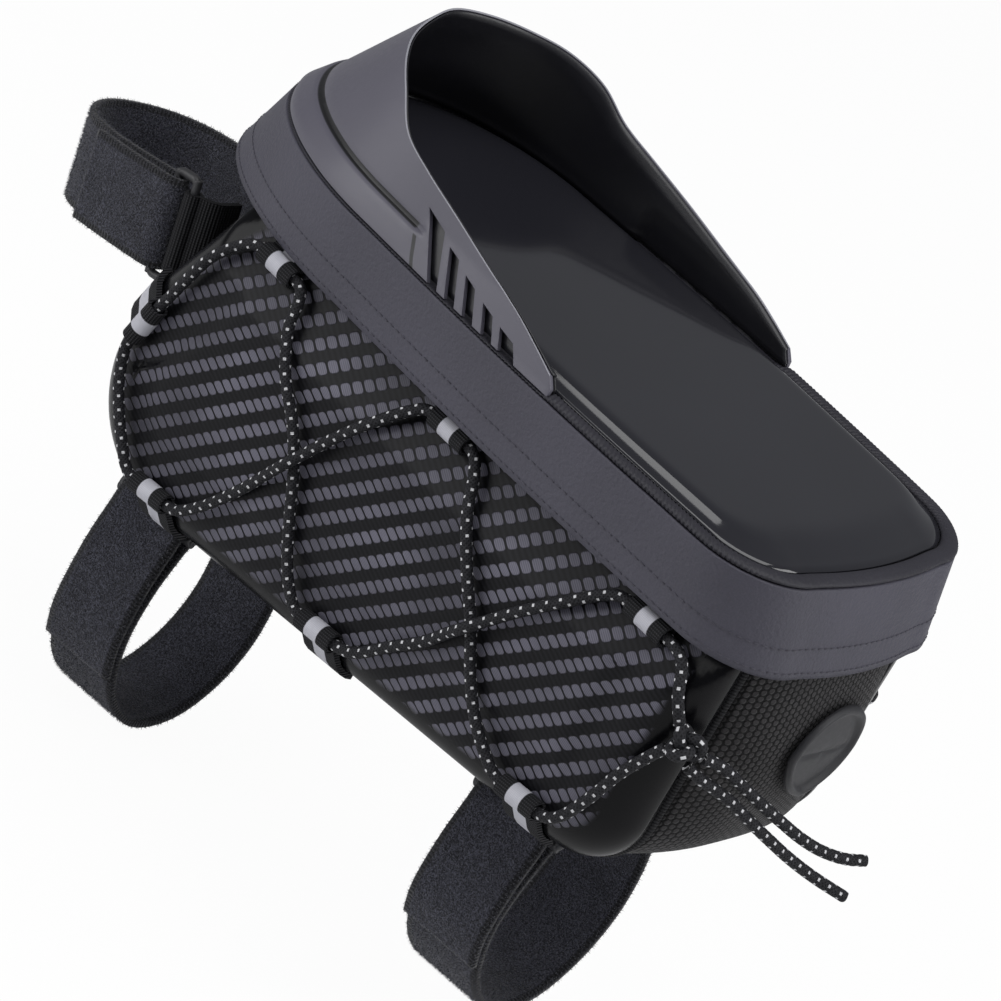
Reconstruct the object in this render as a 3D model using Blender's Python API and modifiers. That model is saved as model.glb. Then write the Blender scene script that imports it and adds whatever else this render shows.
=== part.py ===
"""Phone bag for a bicycle's top tube: moulded side shells, a mesh gusset, and a lid with a window and a visor.

Lengths are in metres. +X runs to the rear of the bag, +Y to its right side and +Z up. The origin is on the
sloped seat face under the bag, which rests on the tube. The lid lies level.
"""
import math

import bmesh
import bpy
from mathutils import Matrix, Vector

# Clearance between neighbouring pieces
GAP = 0.0003

# Lid outline at its top edge and at the skirt's hem
LID_Z = 0.1005
NOSE_CENTRE_X = -0.0415
NOSE_LENGTH = 0.0629
LID_HALF_WIDTH = 0.0472
LID_REAR_X = 0.1000
CORNER_RADIUS = 0.0229
SIDE_BOW = 0.0017
REAR_BOW = 0.0021
HEM_DROP = 0.0219
HEM_NOSE_LENGTH = 0.0723
HEM_HALF_WIDTH = 0.0452
HEM_REAR_X = 0.1060
SKIRT_WALL = 0.0015

# Rim bead, window film and the pocket under it
BEAD_WIDTH = 0.0049
BEAD_RISE = 0.0015
FRAME_WIDTH = 0.0100
FRAME_THICK = 0.0017
FILM_THICK = 0.0008
FILM_RISE = 0.0040
POCKET_DEPTH = 0.0065
POCKET_PANEL_THICK = 0.0020
POCKET_SLOT_X = 0.0750
POCKET_SLOT_SIZE = (0.0180, 0.0720)

# Visor
VISOR_WALL = 0.0012
VISOR_INSET = 0.0024
VISOR_BASE_Z = LID_Z + 0.0029
VISOR_STEP = 0.0010
VISOR_LINER = 0.0007
VISOR_RIM = [
    (-0.0789, 0.0000, 0.0372), (-0.0760, 0.0114, 0.0369), (-0.0710, 0.0228, 0.0355),
    (-0.0636, 0.0321, 0.0338), (-0.0547, 0.0387, 0.0302), (-0.0458, 0.0425, 0.0242),
    (-0.0346, 0.0443, 0.0211), (-0.0202, 0.0455, 0.0179), (-0.0053, 0.0465, 0.0143),
    (0.0080, 0.0470, 0.0112), (0.0165, 0.0470, 0.0084), (0.0240, 0.0468, 0.0055),
]
VISOR_BASE_X = [-0.1020, -0.0985, -0.0890, -0.0770, -0.0630, -0.0510, -0.0390, -0.0220, -0.0060,
                0.0080, 0.0178, 0.0262]
VISOR_SLOTS = [
    [(-0.0289, 0.0149), (-0.0214, 0.0131), (-0.0159, 0.0038), (-0.0200, 0.0038)],
    [(-0.0179, 0.0113), (-0.0137, 0.0106), (-0.0094, 0.0038), (-0.0131, 0.0038)],
    [(-0.0098, 0.0091), (-0.0055, 0.0082), (-0.0026, 0.0038), (-0.0064, 0.0038)],
    [(-0.0016, 0.0072), (0.0026, 0.0064), (0.0044, 0.0038), (0.0006, 0.0038)],
    [(0.0058, 0.0058), (0.0112, 0.0050), (0.0122, 0.0038), (0.0070, 0.0038)],
]

# Body outline in side view: the seam between the shells and the gusset
SEAT_SLOPE = 0.11
SEAM_FRONT_X = -0.0986
SEAM_REAR_X = 0.0985
SEAM_STEP = 0.0150
LEG_STEP = 0.0055
BODY_TOP_Z = LID_Z - 0.0170
SEAM_CORNERS = [
    (-0.0785, BODY_TOP_Z, 0.0),
    (SEAM_FRONT_X, 0.0380, 0.0600),
    (SEAM_FRONT_X, SEAT_SLOPE * SEAM_FRONT_X, 0.0320),
    (SEAM_REAR_X, SEAT_SLOPE * SEAM_REAR_X, 0.0200),
    (SEAM_REAR_X, BODY_TOP_Z, 0.0),
]

# Gusset
GUSSET_HALF_WIDTH = 0.0302
GUSSET_WALL = 0.0025
REAR_BULGE = 0.0100
FRONT_BULGE = 0.0010

# Seam piping
PIPING_RADIUS = 0.0012
PIPING_INSET = 0.0006
PIPING_Y = GUSSET_HALF_WIDTH + GAP + PIPING_RADIUS

# Side shells
SHELL_EDGE_Y = PIPING_Y + PIPING_RADIUS + 3 * GAP
SHELL_WALL = 0.0030
MARGIN_INSET = 0.0140
MARGIN_RISE = 0.0118
SHELL_DOME = 0.0016
SHELL_TOP_Y = 0.0345
SHELL_TOP_LEAN = 0.58
TUCK = 0.0015

# Opening collar, zip, base board and hinge flap
COLLAR_HALF_WIDTH = 0.0310
COLLAR_FRONT_X = -0.0752
COLLAR_REAR_X = 0.0955
COLLAR_RADIUS = 0.0120
COLLAR_WALL = 0.0015
COLLAR_TOP_Z = LID_Z - 0.0100
COLLAR_HEIGHT = 0.0200
ZIP_START_X = -0.0600
ZIP_THICK = 0.0016
ZIP_TOP_Z = LID_Z - 0.0116
ZIP_HEIGHT = 0.0040
LID_TAPE_THICK = 0.0010
LID_TAPE_TOP_Z = LID_Z - POCKET_DEPTH - POCKET_PANEL_THICK - GAP
SLIDER_SIZE = (0.0100, 0.0030, 0.0055)
SLIDER_X = -0.0500
PULL_SIZE = (0.0180, 0.0012, 0.0040)
BOARD_SIZE = (0.1400, 0.0560, 0.0015)
BOARD_X = 0.0080
FLAP_SIZE = (0.0010, 0.0400, 0.0180)

# Rubber cable port on the rear end
PORT_CENTRE = (0.0025, 0.0550)
PORT_SIZE = (0.0280, 0.0280)
PORT_THICK = 0.0020

# Hook and loop straps with their rings
STRAP_WIDTH = 0.0250
STRAP_THICK = 0.0018
RING_BAR = 0.0012
RING_LENGTH = 0.0290
RING_PITCH = 0.0068
TAB_WIDTH = 0.0220
TAB_THICK = 0.0016
BOTTOM_STRAPS_X = (-0.0806, 0.0564)
BOTTOM_STRAP_DROPS = (0.0037, -0.0033)
BOTTOM_STRAP_ROUTE = [
    (0.0010, 0.0014), (0.0110, 0.0014), (0.0205, 0.0065), (0.0275, 0.0160), (0.0305, 0.0300),
    (0.0285, 0.0460), (0.0210, 0.0590), (0.0090, 0.0680), (-0.0040, 0.0700), (-0.0145, 0.0660),
    (-0.0225, 0.0560), (-0.0250, 0.0420), (-0.0220, 0.0290), (-0.0170, 0.0190), (-0.0144, 0.0142),
    (-0.0153, 0.0109), (-0.0182, 0.0113), (-0.0204, 0.0165), (-0.0246, 0.0275), (-0.0275, 0.0420),
    (-0.0262, 0.0520),
]
BOTTOM_RING = (-0.0165, 0.0130)
BOTTOM_RING_TILT = (-0.50, 0.87)
FRONT_STRAP_Z = LID_Z - 0.0510
FRONT_STRAP_DROOP = math.radians(10.0)
FRONT_STRAP_ROUTE = [
    (0.0050, 0.0014), (0.0110, 0.0018), (0.0162, 0.0085), (0.0185, 0.0240), (0.0180, 0.0420),
    (0.0125, 0.0540), (0.0020, 0.0610), (-0.0080, 0.0600), (-0.0155, 0.0530), (-0.0185, 0.0420),
    (-0.0186, 0.0300), (-0.0180, 0.0200), (-0.0176, 0.0155), (-0.0200, 0.0131), (-0.0224, 0.0155),
    (-0.0227, 0.0220), (-0.0225, 0.0320), (-0.0218, 0.0440),
]
FRONT_RING = (-0.0200, 0.0155)
FRONT_RING_TILT = (0.0, 1.0)

# Lacing cord and the webbing loops that hold it
CORD_RADIUS = 0.0015
LOOP_HOLE = CORD_RADIUS + 0.0005
LOOP_RADIUS = 0.0028
LOOP_TAIL = 0.0016
LOOP_WIDTH = 0.0120
LOOP_LIFT = LOOP_RADIUS + GAP
TOP_LOOPS_X = (-0.0610, 0.0050, 0.0760)
TOP_LOOP_Z = LID_Z - 0.0275
BOTTOM_LOOPS_X = (-0.0600, 0.0030, 0.0740)
FRONT_LOOP_Z = LID_Z - 0.0590
LOOP_SEAT_TURN = math.radians(78.0)

# Route of the lacing on one side, as x, z and height over the shell
FACE = 0.0025
OVER = 0.0057
EDGE = 0.0032
UNDER_SKIRT = 0.0036
LACING = [
    (0.0890, 0.0732, UNDER_SKIRT), (0.0828, 0.0746, UNDER_SKIRT), (0.0692, 0.0746, UNDER_SKIRT),
    (0.0635, 0.0722, UNDER_SKIRT), (0.0560, 0.0640, FACE), (0.0490, 0.0560, FACE), (0.0432, 0.0485, 0.0036),
    (0.0395, 0.0435, OVER), (0.0355, 0.0385, 0.0036), (0.0300, 0.0310, FACE), (0.0215, 0.0220, 0.0029),
    (0.0150, 0.0148, EDGE), (0.0083, 0.0115, EDGE), (-0.0046, 0.0101, EDGE), (-0.0100, 0.0130, EDGE),
    (-0.0145, 0.0185, 0.0029), (-0.0190, 0.0265, FACE), (-0.0225, 0.0340, FACE), (-0.0262, 0.0410, FACE),
    (-0.0320, 0.0490, FACE), (-0.0400, 0.0570, FACE), (-0.0470, 0.0660, 0.0030),
    (-0.0500, 0.0720, UNDER_SKIRT), (-0.0542, 0.0746, UNDER_SKIRT), (-0.0678, 0.0746, UNDER_SKIRT),
    (-0.0728, 0.0720, UNDER_SKIRT), (-0.0770, 0.0655, 0.0032), (-0.0805, 0.0565, 0.0032),
    (-0.0825, 0.0500, EDGE), (-0.0843, 0.0447, EDGE), (-0.0880, 0.0323, EDGE), (-0.0878, 0.0275, EDGE),
    (-0.0850, 0.0205, 0.0031), (-0.0802, 0.0135, 0.0031), (-0.0750, 0.0075, 0.0031), (-0.0717, 0.0042, EDGE),
    (-0.0676, 0.0031, EDGE), (-0.0547, 0.0046, EDGE), (-0.0495, 0.0075, EDGE), (-0.0430, 0.0150, 0.0029),
    (-0.0360, 0.0255, FACE), (-0.0300, 0.0355, 0.0036), (-0.0262, 0.0410, OVER), (-0.0232, 0.0470, 0.0036),
    (-0.0185, 0.0550, FACE), (-0.0130, 0.0630, 0.0029), (-0.0068, 0.0715, UNDER_SKIRT),
    (-0.0018, 0.0746, UNDER_SKIRT), (0.0118, 0.0746, UNDER_SKIRT), (0.0170, 0.0718, UNDER_SKIRT),
    (0.0230, 0.0640, FACE), (0.0310, 0.0540, FACE), (0.0395, 0.0435, FACE), (0.0450, 0.0345, FACE),
    (0.0520, 0.0262, 0.0029), (0.0600, 0.0202, EDGE), (0.0664, 0.0179, EDGE), (0.0793, 0.0193, EDGE),
    (0.0845, 0.0230, EDGE),
]
LACING_ENDS = {
    "left": (
        [(0.0967, 0.0610, 0.0045), (0.0938, 0.0670, 0.0034)],
        [(0.0885, 0.0320, 0.0032), (0.0915, 0.0420, 0.0032), (0.0950, 0.0502, 0.0040), (0.0971, 0.0543, 0.0056)],
    ),
    "right": (
        [(0.0872, 0.0517, 0.0045), (0.0880, 0.0590, 0.0034), (0.0897, 0.0670, 0.0034)],
        [(0.0872, 0.0290, 0.0033), (0.0876, 0.0360, 0.0038), (0.0873, 0.0421, 0.0046)],
    ),
}
KNOTS = {"left": (0.1003, -0.0433, 0.0578), "right": (0.0873, 0.0508, 0.0470)}
KNOT_RADII = (0.0050, 0.0050, 0.0042)
TAIL_ROUTES = {
    "cord_tail_upper": [
        (0.1043, -0.0402, 0.0565), (0.1069, -0.0345, 0.0550), (0.1105, -0.0285, 0.0515),
        (0.1142, -0.0220, 0.0476), (0.1177, -0.0150, 0.0437), (0.1210, -0.0080, 0.0400),
        (0.1241, -0.0010, 0.0372), (0.1274, 0.0055, 0.0361), (0.1301, 0.0110, 0.0366),
    ],
    "cord_tail_lower": [
        (0.1029, -0.0422, 0.0532), (0.1058, -0.0385, 0.0510), (0.1080, -0.0340, 0.0490),
        (0.1112, -0.0290, 0.0466), (0.1146, -0.0235, 0.0430), (0.1186, -0.0165, 0.0388),
        (0.1224, -0.0095, 0.0348), (0.1271, -0.0020, 0.0313), (0.1331, 0.0050, 0.0290),
    ],
}

# Materials: colour, roughness, metallic
MATERIALS = {
    "moulded_shell": ((0.020, 0.020, 0.026), 0.35, 0.0),
    "mesh_fabric": ((0.016, 0.016, 0.018), 0.80, 0.0),
    "leatherette": ((0.062, 0.060, 0.078), 0.55, 0.0),
    "visor_sheet": ((0.095, 0.092, 0.115), 0.45, 0.0),
    "visor_lining": ((0.015, 0.015, 0.018), 0.40, 0.0),
    "clear_film": ((0.060, 0.060, 0.070), 0.10, 0.0),
    "stiff_board": ((0.020, 0.020, 0.022), 0.60, 0.0),
    "webbing": ((0.020, 0.020, 0.024), 0.75, 0.0),
    "hook_and_loop": ((0.030, 0.030, 0.042), 0.90, 0.0),
    "ring_plastic": ((0.035, 0.035, 0.038), 0.40, 0.0),
    "cord_braid": ((0.012, 0.012, 0.014), 0.70, 0.0),
    "port_rubber": ((0.025, 0.025, 0.028), 0.50, 0.0),
    "zip_metal": ((0.110, 0.110, 0.120), 0.35, 1.0),
}


def empty_scene():
    """Remove every object that the scene starts with."""
    for obj in list(bpy.data.objects):
        bpy.data.objects.remove(obj, do_unlink=True)


def make_material(name):
    """Principled material from the table above."""
    colour, roughness, metallic = MATERIALS[name]
    material = bpy.data.materials.new(name)
    material.use_nodes = True
    shader = material.node_tree.nodes["Principled BSDF"]
    shader.inputs["Base Color"].default_value = (*colour, 1.0)
    shader.inputs["Roughness"].default_value = roughness
    shader.inputs["Metallic"].default_value = metallic
    material.diffuse_color = (*colour, 1.0)
    return material


def add_object(name, data, slot, parts):
    """Link new object data under its own name with its own material."""
    obj = bpy.data.objects.new(name, data)
    parts.objects.link(obj)
    if slot:
        data.materials.append(make_material(slot))
    return obj


def grid(name, rows, slot, parts, wrap=False, cap=False, flip=False):
    """Surface through rows of points; wrap closes each row, cap fills the last row."""
    mesh = bpy.data.meshes.new(name)
    count = len(rows[0])
    faces = []
    for i in range(len(rows) - 1):
        for j in range(count if wrap else count - 1):
            k = (j + 1) % count
            faces.append((i * count + j, i * count + k, (i + 1) * count + k, (i + 1) * count + j))
    if cap:
        faces.append(tuple((len(rows) - 1) * count + j for j in range(count)))
    if flip:
        faces = [face[::-1] for face in faces]
    mesh.from_pydata([point for row in rows for point in row], [], faces)
    return add_object(name, mesh, slot, parts)


def closed_ring(name, rows, slot, parts):
    """Ring-shaped solid through closed rows, with the last row joined to the first."""
    obj = grid(name, rows + rows[:1], slot, parts, wrap=True)
    build = bmesh.new()
    build.from_mesh(obj.data)
    bmesh.ops.remove_doubles(build, verts=build.verts, dist=1e-7)
    bmesh.ops.recalc_face_normals(build, faces=build.faces)
    build.to_mesh(obj.data)
    build.free()
    return obj


def thicken(obj, wall, offset=-1.0, even=True):
    """Give an open surface its wall."""
    modifier = obj.modifiers.new("wall", "SOLIDIFY")
    modifier.thickness = wall
    modifier.offset = offset
    modifier.use_even_offset = even


def box(name, size, slot, parts):
    """Plain box around its own origin."""
    build = bmesh.new()
    bmesh.ops.create_cube(build, size=1.0)
    bmesh.ops.scale(build, vec=size, verts=build.verts)
    mesh = bpy.data.meshes.new(name)
    build.to_mesh(mesh)
    build.free()
    return add_object(name, mesh, slot, parts)


def plate(name, outlines, height, slot, parts):
    """Flat piece from closed outlines, the later ones being holes, with its mid-plane at the origin."""
    curve = bpy.data.curves.new(name, "CURVE")
    curve.dimensions = "2D"
    curve.fill_mode = "BOTH"
    curve.extrude = height / 2
    for outline in outlines:
        spline = curve.splines.new("POLY")
        spline.points.add(len(outline) - 1)
        for point, (x, y) in zip(spline.points, outline):
            point.co = (x, y, 0.0, 1.0)
        spline.use_cyclic_u = True
    return add_object(name, curve, slot, parts)


def tube(name, points, radius, slot, parts, closed=False):
    """Round bar along a route."""
    curve = bpy.data.curves.new(name, "CURVE")
    curve.dimensions = "3D"
    curve.bevel_depth = radius
    curve.bevel_resolution = 2
    curve.use_fill_caps = not closed
    spline = curve.splines.new("POLY")
    spline.points.add(len(points) - 1)
    for point, place in zip(spline.points, points):
        point.co = (*place, 1.0)
    spline.use_cyclic_u = closed
    return add_object(name, curve, slot, parts)


def place(obj, x_axis, y_axis, origin):
    """Turn an object so that its own X and Y lie along two world directions."""
    x_axis = Vector(x_axis).normalized()
    y_axis = Vector(y_axis).normalized()
    z_axis = x_axis.cross(y_axis)
    turn = Matrix((x_axis, y_axis, z_axis)).transposed().to_4x4()
    obj.matrix_world = Matrix.Translation(origin) @ turn


def mix(a, b, share):
    """Value between a and b."""
    return a + (b - a) * share


def plan(level, inset=0.0, end_inset=0.0):
    """Lid outline seen from above; level runs from 0 at the top edge to 1 at the hem."""
    length = mix(NOSE_LENGTH, HEM_NOSE_LENGTH, level) - inset - end_inset
    half = mix(LID_HALF_WIDTH, HEM_HALF_WIDTH, level) - inset
    rear = mix(LID_REAR_X, HEM_REAR_X, level) - inset - end_inset
    radius = CORNER_RADIUS - inset
    side = []
    for i in range(12):
        turn = math.pi / 2 * i / 12
        side.append((NOSE_CENTRE_X - length * math.cos(turn), half * math.sin(turn)))
    for i in range(9):
        share = i / 9
        bow = SIDE_BOW * math.sin(math.pi * share)
        side.append((mix(NOSE_CENTRE_X, rear - radius, share), half + bow))
    for i in range(7):
        turn = math.pi / 2 * (1 - i / 6)
        side.append((rear - radius * (1 - math.cos(turn)), half - radius * (1 - math.sin(turn))))
    for i in range(1, 4):
        share = 1 - i / 3
        side.append((rear + REAR_BOW * (1 - share * share), (half - radius) * share))
    return side + [(x, -y) for x, y in side[-2:0:-1]]


def level_row(level, inset, height, end_inset=0.0):
    """Lid outline as 3-D points at a height over the lid's top edge."""
    return [(x, y, LID_Z + height) for x, y in plan(level, inset, end_inset)]


def plan_half_width(x, inset):
    """Half width of the lid's top outline at one x."""
    side = [point for point in plan(0.0, inset) if point[1] >= 0.0]
    for (x0, y0), (x1, y1) in zip(side, side[1:]):
        if x0 <= x <= x1:
            return mix(y0, y1, (x - x0) / (x1 - x0))
    return 0.0


SLOPE = math.atan(SEAT_SLOPE)


def seam_stations():
    """Points of the seam with the outward direction at each, from the front top round to the rear top."""
    points = [SEAM_CORNERS[0][:2]]
    for before, corner, after, steps in zip(SEAM_CORNERS, SEAM_CORNERS[1:], SEAM_CORNERS[2:], (4, 8, 6)):
        here = Vector(corner[:2])
        back = (Vector(before[:2]) - here).normalized()
        ahead = (Vector(after[:2]) - here).normalized()
        half = back.angle(ahead) / 2
        centre = here + (back + ahead).normalized() * corner[2] / math.sin(half)
        start = here + back * corner[2] / math.tan(half) - centre
        end = here + ahead * corner[2] / math.tan(half) - centre
        sweep = math.pi - 2 * half
        first = math.atan2(start.y, start.x)
        last_point = Vector(points[-1])
        step = LEG_STEP if corner is SEAM_CORNERS[1] else SEAM_STEP
        count = max(1, round((centre + start - last_point).length / step))
        for i in range(1, count):
            points.append(tuple(last_point.lerp(centre + start, i / count)))
        for i in range(steps):
            turn = first + sweep * i / steps
            points.append((centre.x + corner[2] * math.cos(turn), centre.y + corner[2] * math.sin(turn)))
        points.append(tuple(centre + end))
    last_point = Vector(points[-1])
    top = Vector(SEAM_CORNERS[-1][:2])
    count = round((top - last_point).length / LEG_STEP)
    for i in range(1, count + 1):
        points.append(tuple(last_point.lerp(top, i / count)))
    stations = []
    for i, (x, z) in enumerate(points):
        along = (Vector(points[min(i + 1, len(points) - 1)]) - Vector(points[max(i - 1, 0)])).normalized()
        stations.append((x, z, along.y, -along.x))
    stations[0] = (*points[0], -1.0, 0.0)
    stations[-1] = (*points[-1], 1.0, 0.0)
    return stations


def seam_depth(x, z):
    """Distance of a side-view point inward from the seam."""
    stations = seam_stations()
    point = Vector((x, z))
    depth = 1.0
    for first, second in zip(stations, stations[1:]):
        start = Vector(first[:2])
        run = Vector(second[:2]) - start
        share = max(0.0, min(1.0, (point - start).dot(run) / run.length_squared))
        depth = min(depth, (point - start - run * share).length)
    return depth


def front_seam(z):
    """Point of the front seam at one height, with its outward direction."""
    for first, second in zip(seam_stations(), seam_stations()[1:]):
        if second[1] <= z <= first[1]:
            share = (first[1] - z) / (first[1] - second[1])
            x, _, nx, nz = (mix(a, b, share) for a, b in zip(first, second))
            return x, z, nx, nz
    return SEAM_FRONT_X, z, -1.0, 0.0


def shell_y(x, z, depth=None):
    """Distance of the shell's outer face from the middle plane."""
    if depth is None:
        depth = seam_depth(x, z)
    if depth < MARGIN_INSET:
        y = SHELL_EDGE_Y + MARGIN_RISE * math.sqrt(max(0.0, 1 - (1 - depth / MARGIN_INSET) ** 2))
    else:
        share = min(1.0, (depth - MARGIN_INSET) / 0.03)
        y = SHELL_EDGE_Y + MARGIN_RISE + SHELL_DOME * share * (2 - share)
    nose = max(0.0, 1 - (min(0.0, x - NOSE_CENTRE_X) / (HEM_NOSE_LENGTH - SKIRT_WALL - TUCK)) ** 2)
    tucked = (HEM_HALF_WIDTH - SKIRT_WALL - TUCK) * math.sqrt(nose) + max(0.0, LID_Z - HEM_DROP - z)
    return min(y, SHELL_TOP_Y + (BODY_TOP_Z - z) * SHELL_TOP_LEAN, max(tucked, SHELL_EDGE_Y))


def shell(name, side, parts):
    """One moulded side: rows run inward from the seam to the top edge's middle."""
    stations = seam_stations()
    last = len(stations) - 1
    rows = []
    for turn in (0.0, 20.0, 40.0, 58.0, 74.0, 90.0):
        depth = MARGIN_INSET * (1 - math.cos(math.radians(turn)))
        row = []
        for x, z, nx, nz in stations:
            px = x - nx * depth
            pz = z - nz * depth
            row.append((px, side * shell_y(px, pz, depth), pz))
        rows.append(row)
    for share in (0.18, 0.38, 0.62, 1.0):
        row = []
        for i, (x, _, z) in enumerate(rows[5]):
            px = mix(x, mix(-0.050, 0.060, i / last), share)
            pz = mix(z, BODY_TOP_Z, share)
            row.append((px, side * shell_y(px, pz), pz))
        rows.append(row)
    obj = grid(name, rows, "moulded_shell", parts, flip=side > 0)
    thicken(obj, SHELL_WALL, even=False)
    return obj


def gusset_bulge(x, z, y):
    """Outward bulge of the gusset between its two seams."""
    across = 1 - abs(y / GUSSET_HALF_WIDTH) ** 3
    low = SEAT_SLOPE * x
    height = max(0.0, min(1.0, (z - low) / (BODY_TOP_Z - low)))
    if x > SEAM_CORNERS[3][0] - SEAM_CORNERS[3][2]:
        return REAR_BULGE * math.sin(0.8 * math.pi * height ** 0.9) * across
    if x < SEAM_CORNERS[2][0] + SEAM_CORNERS[2][2]:
        return FRONT_BULGE * min(1.0, 2 * height) * across
    return 0.0


def gusset(parts):
    """Fabric band between the shells: front, bottom and rear."""
    rows = []
    for x, z, nx, nz in seam_stations():
        row = []
        for i in range(9):
            y = GUSSET_HALF_WIDTH * (i / 4 - 1)
            bulge = gusset_bulge(x, z, y)
            row.append((x + nx * bulge, y, z + nz * bulge))
        rows.append(row)
    obj = grid("gusset", rows, "mesh_fabric", parts)
    thicken(obj, GUSSET_WALL)
    return obj


def piping(name, side, parts):
    """Corded edge along one seam."""
    points = [
        (x - nx * PIPING_INSET, side * PIPING_Y, z - nz * PIPING_INSET)
        for x, z, nx, nz in seam_stations()[1:-1]
    ]
    return tube(name, points, PIPING_RADIUS, "webbing", parts)


def collar_outline(outset):
    """Rounded outline of the bag's opening."""
    half = COLLAR_HALF_WIDTH + outset
    radius = COLLAR_RADIUS + outset
    points = []
    corners = (
        (COLLAR_REAR_X + outset, half, 0), (COLLAR_FRONT_X - outset, half, 1),
        (COLLAR_FRONT_X - outset, -half, 2), (COLLAR_REAR_X + outset, -half, 3),
    )
    for x, y, quarter in corners:
        cx = x - math.copysign(radius, x)
        cy = y - math.copysign(radius, y)
        for i in range(7):
            turn = math.pi / 2 * (quarter + i / 6)
            points.append((cx + radius * math.cos(turn), cy + radius * math.sin(turn)))
    return points


def zip_band(name, inner, outer, top, height, slot, parts):
    """Band round the opening's sides and rear, from the start of the zip on one side to the other."""
    outline = []
    for outset, direction in ((inner, 1), (outer, -1)):
        rear = [point for point in collar_outline(outset) if point[0] > 0]
        rear.sort(key=lambda point: math.atan2(point[1], point[0] - 0.05))
        half = COLLAR_HALF_WIDTH + outset
        path = [(ZIP_START_X, -half)] + rear + [(ZIP_START_X, half)]
        outline += path[::direction]
    obj = plate(name, [outline], height, slot, parts)
    obj.location = (0.0, 0.0, top - height / 2)
    return obj


def bag_body(parts):
    """Shells, gusset, piping, board, collar, zip and hinge flap."""
    shell("shell_left", -1, parts)
    shell("shell_right", 1, parts)
    gusset(parts)
    piping("piping_left", -1, parts)
    piping("piping_right", 1, parts)
    board = box("base_board", BOARD_SIZE, "stiff_board", parts)
    lift = GUSSET_WALL + GAP + BOARD_SIZE[2] / 2
    board.location = (BOARD_X - lift * math.sin(SLOPE), 0.0, SEAT_SLOPE * BOARD_X + lift * math.cos(SLOPE))
    board.rotation_euler = (0.0, -SLOPE, 0.0)
    collar = plate(
        "opening_collar", [collar_outline(0.0), collar_outline(-COLLAR_WALL)], COLLAR_HEIGHT, "mesh_fabric", parts)
    collar.location = (0.0, 0.0, COLLAR_TOP_Z - COLLAR_HEIGHT / 2)
    zip_band("zip_chain", GAP, GAP + ZIP_THICK, ZIP_TOP_Z, ZIP_HEIGHT, "webbing", parts)
    flap = box("hinge_flap", FLAP_SIZE, "mesh_fabric", parts)
    flap_x = COLLAR_FRONT_X + COLLAR_WALL + GAP + FLAP_SIZE[0] / 2
    flap.location = (flap_x, 0.0, LID_TAPE_TOP_Z - GAP - FLAP_SIZE[2] / 2)


def zip_slider(parts):
    """Slider on the zip's right-hand run, with a pull that swings on it."""
    slider = box("zip_slider", SLIDER_SIZE, "zip_metal", parts)
    slider_y = COLLAR_HALF_WIDTH + GAP + ZIP_THICK + GAP + SLIDER_SIZE[1] / 2
    slider_z = ZIP_TOP_Z - ZIP_HEIGHT / 2 + GAP
    slider.location = (SLIDER_X, slider_y, slider_z)
    pull = box("zip_pull", PULL_SIZE, "zip_metal", parts)
    pull.data.transform(Matrix.Translation((PULL_SIZE[0] / 2 - 0.002, 0.0, 0.0)))
    pull_y = slider_y + SLIDER_SIZE[1] / 2 + GAP + PULL_SIZE[1] / 2
    pull.location = (SLIDER_X + SLIDER_SIZE[0] / 2 - 0.003, pull_y, slider_z)


def lid(parts):
    """Skirt, bead, stiffening frame, window film, pocket panel and the lid's zip tape."""
    rows = []
    for level in (0.0, 0.33, 0.67, 1.0):
        rows.append(level_row(level, 0.0, -HEM_DROP * level))
    for level in (1.0, 0.67, 0.33, 0.0):
        rows.append(level_row(level, SKIRT_WALL, -HEM_DROP * level))
    closed_ring("lid_skirt", rows, "leatherette", parts)
    bead = (
        (0.0006, GAP), (0.0, 0.0008), (0.0006, BEAD_RISE), (BEAD_WIDTH / 2, BEAD_RISE + 0.0003),
        (BEAD_WIDTH - 0.0006, BEAD_RISE), (BEAD_WIDTH, 0.0008), (BEAD_WIDTH - 0.0006, GAP),
    )
    rows = [level_row(0.0, inset, height) for inset, height in bead]
    closed_ring("rim_bead", rows, "leatherette", parts)
    frame_inset = SKIRT_WALL + 0.0005
    frame = plate(
        "lid_frame", [plan(0.0, frame_inset), plan(0.0, frame_inset + FRAME_WIDTH)], FRAME_THICK, "stiff_board", parts)
    frame.location = (0.0, 0.0, LID_Z - FRAME_THICK / 2)
    edge = BEAD_WIDTH + GAP
    base = GAP + FILM_THICK
    rows = [
        level_row(0.0, edge, base), level_row(0.0, edge + 0.0012, base + 0.0003, 0.001),
        level_row(0.0, edge + 0.0028, mix(base, FILM_RISE, 0.45), 0.003),
        level_row(0.0, edge + 0.0045, mix(base, FILM_RISE, 0.88), 0.006),
        level_row(0.0, edge + 0.0065, FILM_RISE, 0.008),
    ]
    film = grid("window_film", rows, "clear_film", parts, wrap=True, cap=True, flip=True)
    thicken(film, FILM_THICK)
    level = (POCKET_DEPTH + POCKET_PANEL_THICK / 2) / HEM_DROP
    slot_x = (POCKET_SLOT_X - POCKET_SLOT_SIZE[0] / 2, POCKET_SLOT_X + POCKET_SLOT_SIZE[0] / 2)
    slot_y = POCKET_SLOT_SIZE[1] / 2
    slot = [(slot_x[0], -slot_y), (slot_x[1], -slot_y), (slot_x[1], slot_y), (slot_x[0], slot_y)]
    panel = plate("pocket_panel", [plan(level, SKIRT_WALL + 0.0007), slot], POCKET_PANEL_THICK, "mesh_fabric", parts)
    panel.location = (0.0, 0.0, LID_Z - POCKET_DEPTH - POCKET_PANEL_THICK / 2)
    zip_band(
        "lid_tape", GAP, GAP + LID_TAPE_THICK, LID_TAPE_TOP_Z, LID_TAPE_TOP_Z - ZIP_TOP_Z - GAP, "webbing", parts)


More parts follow.
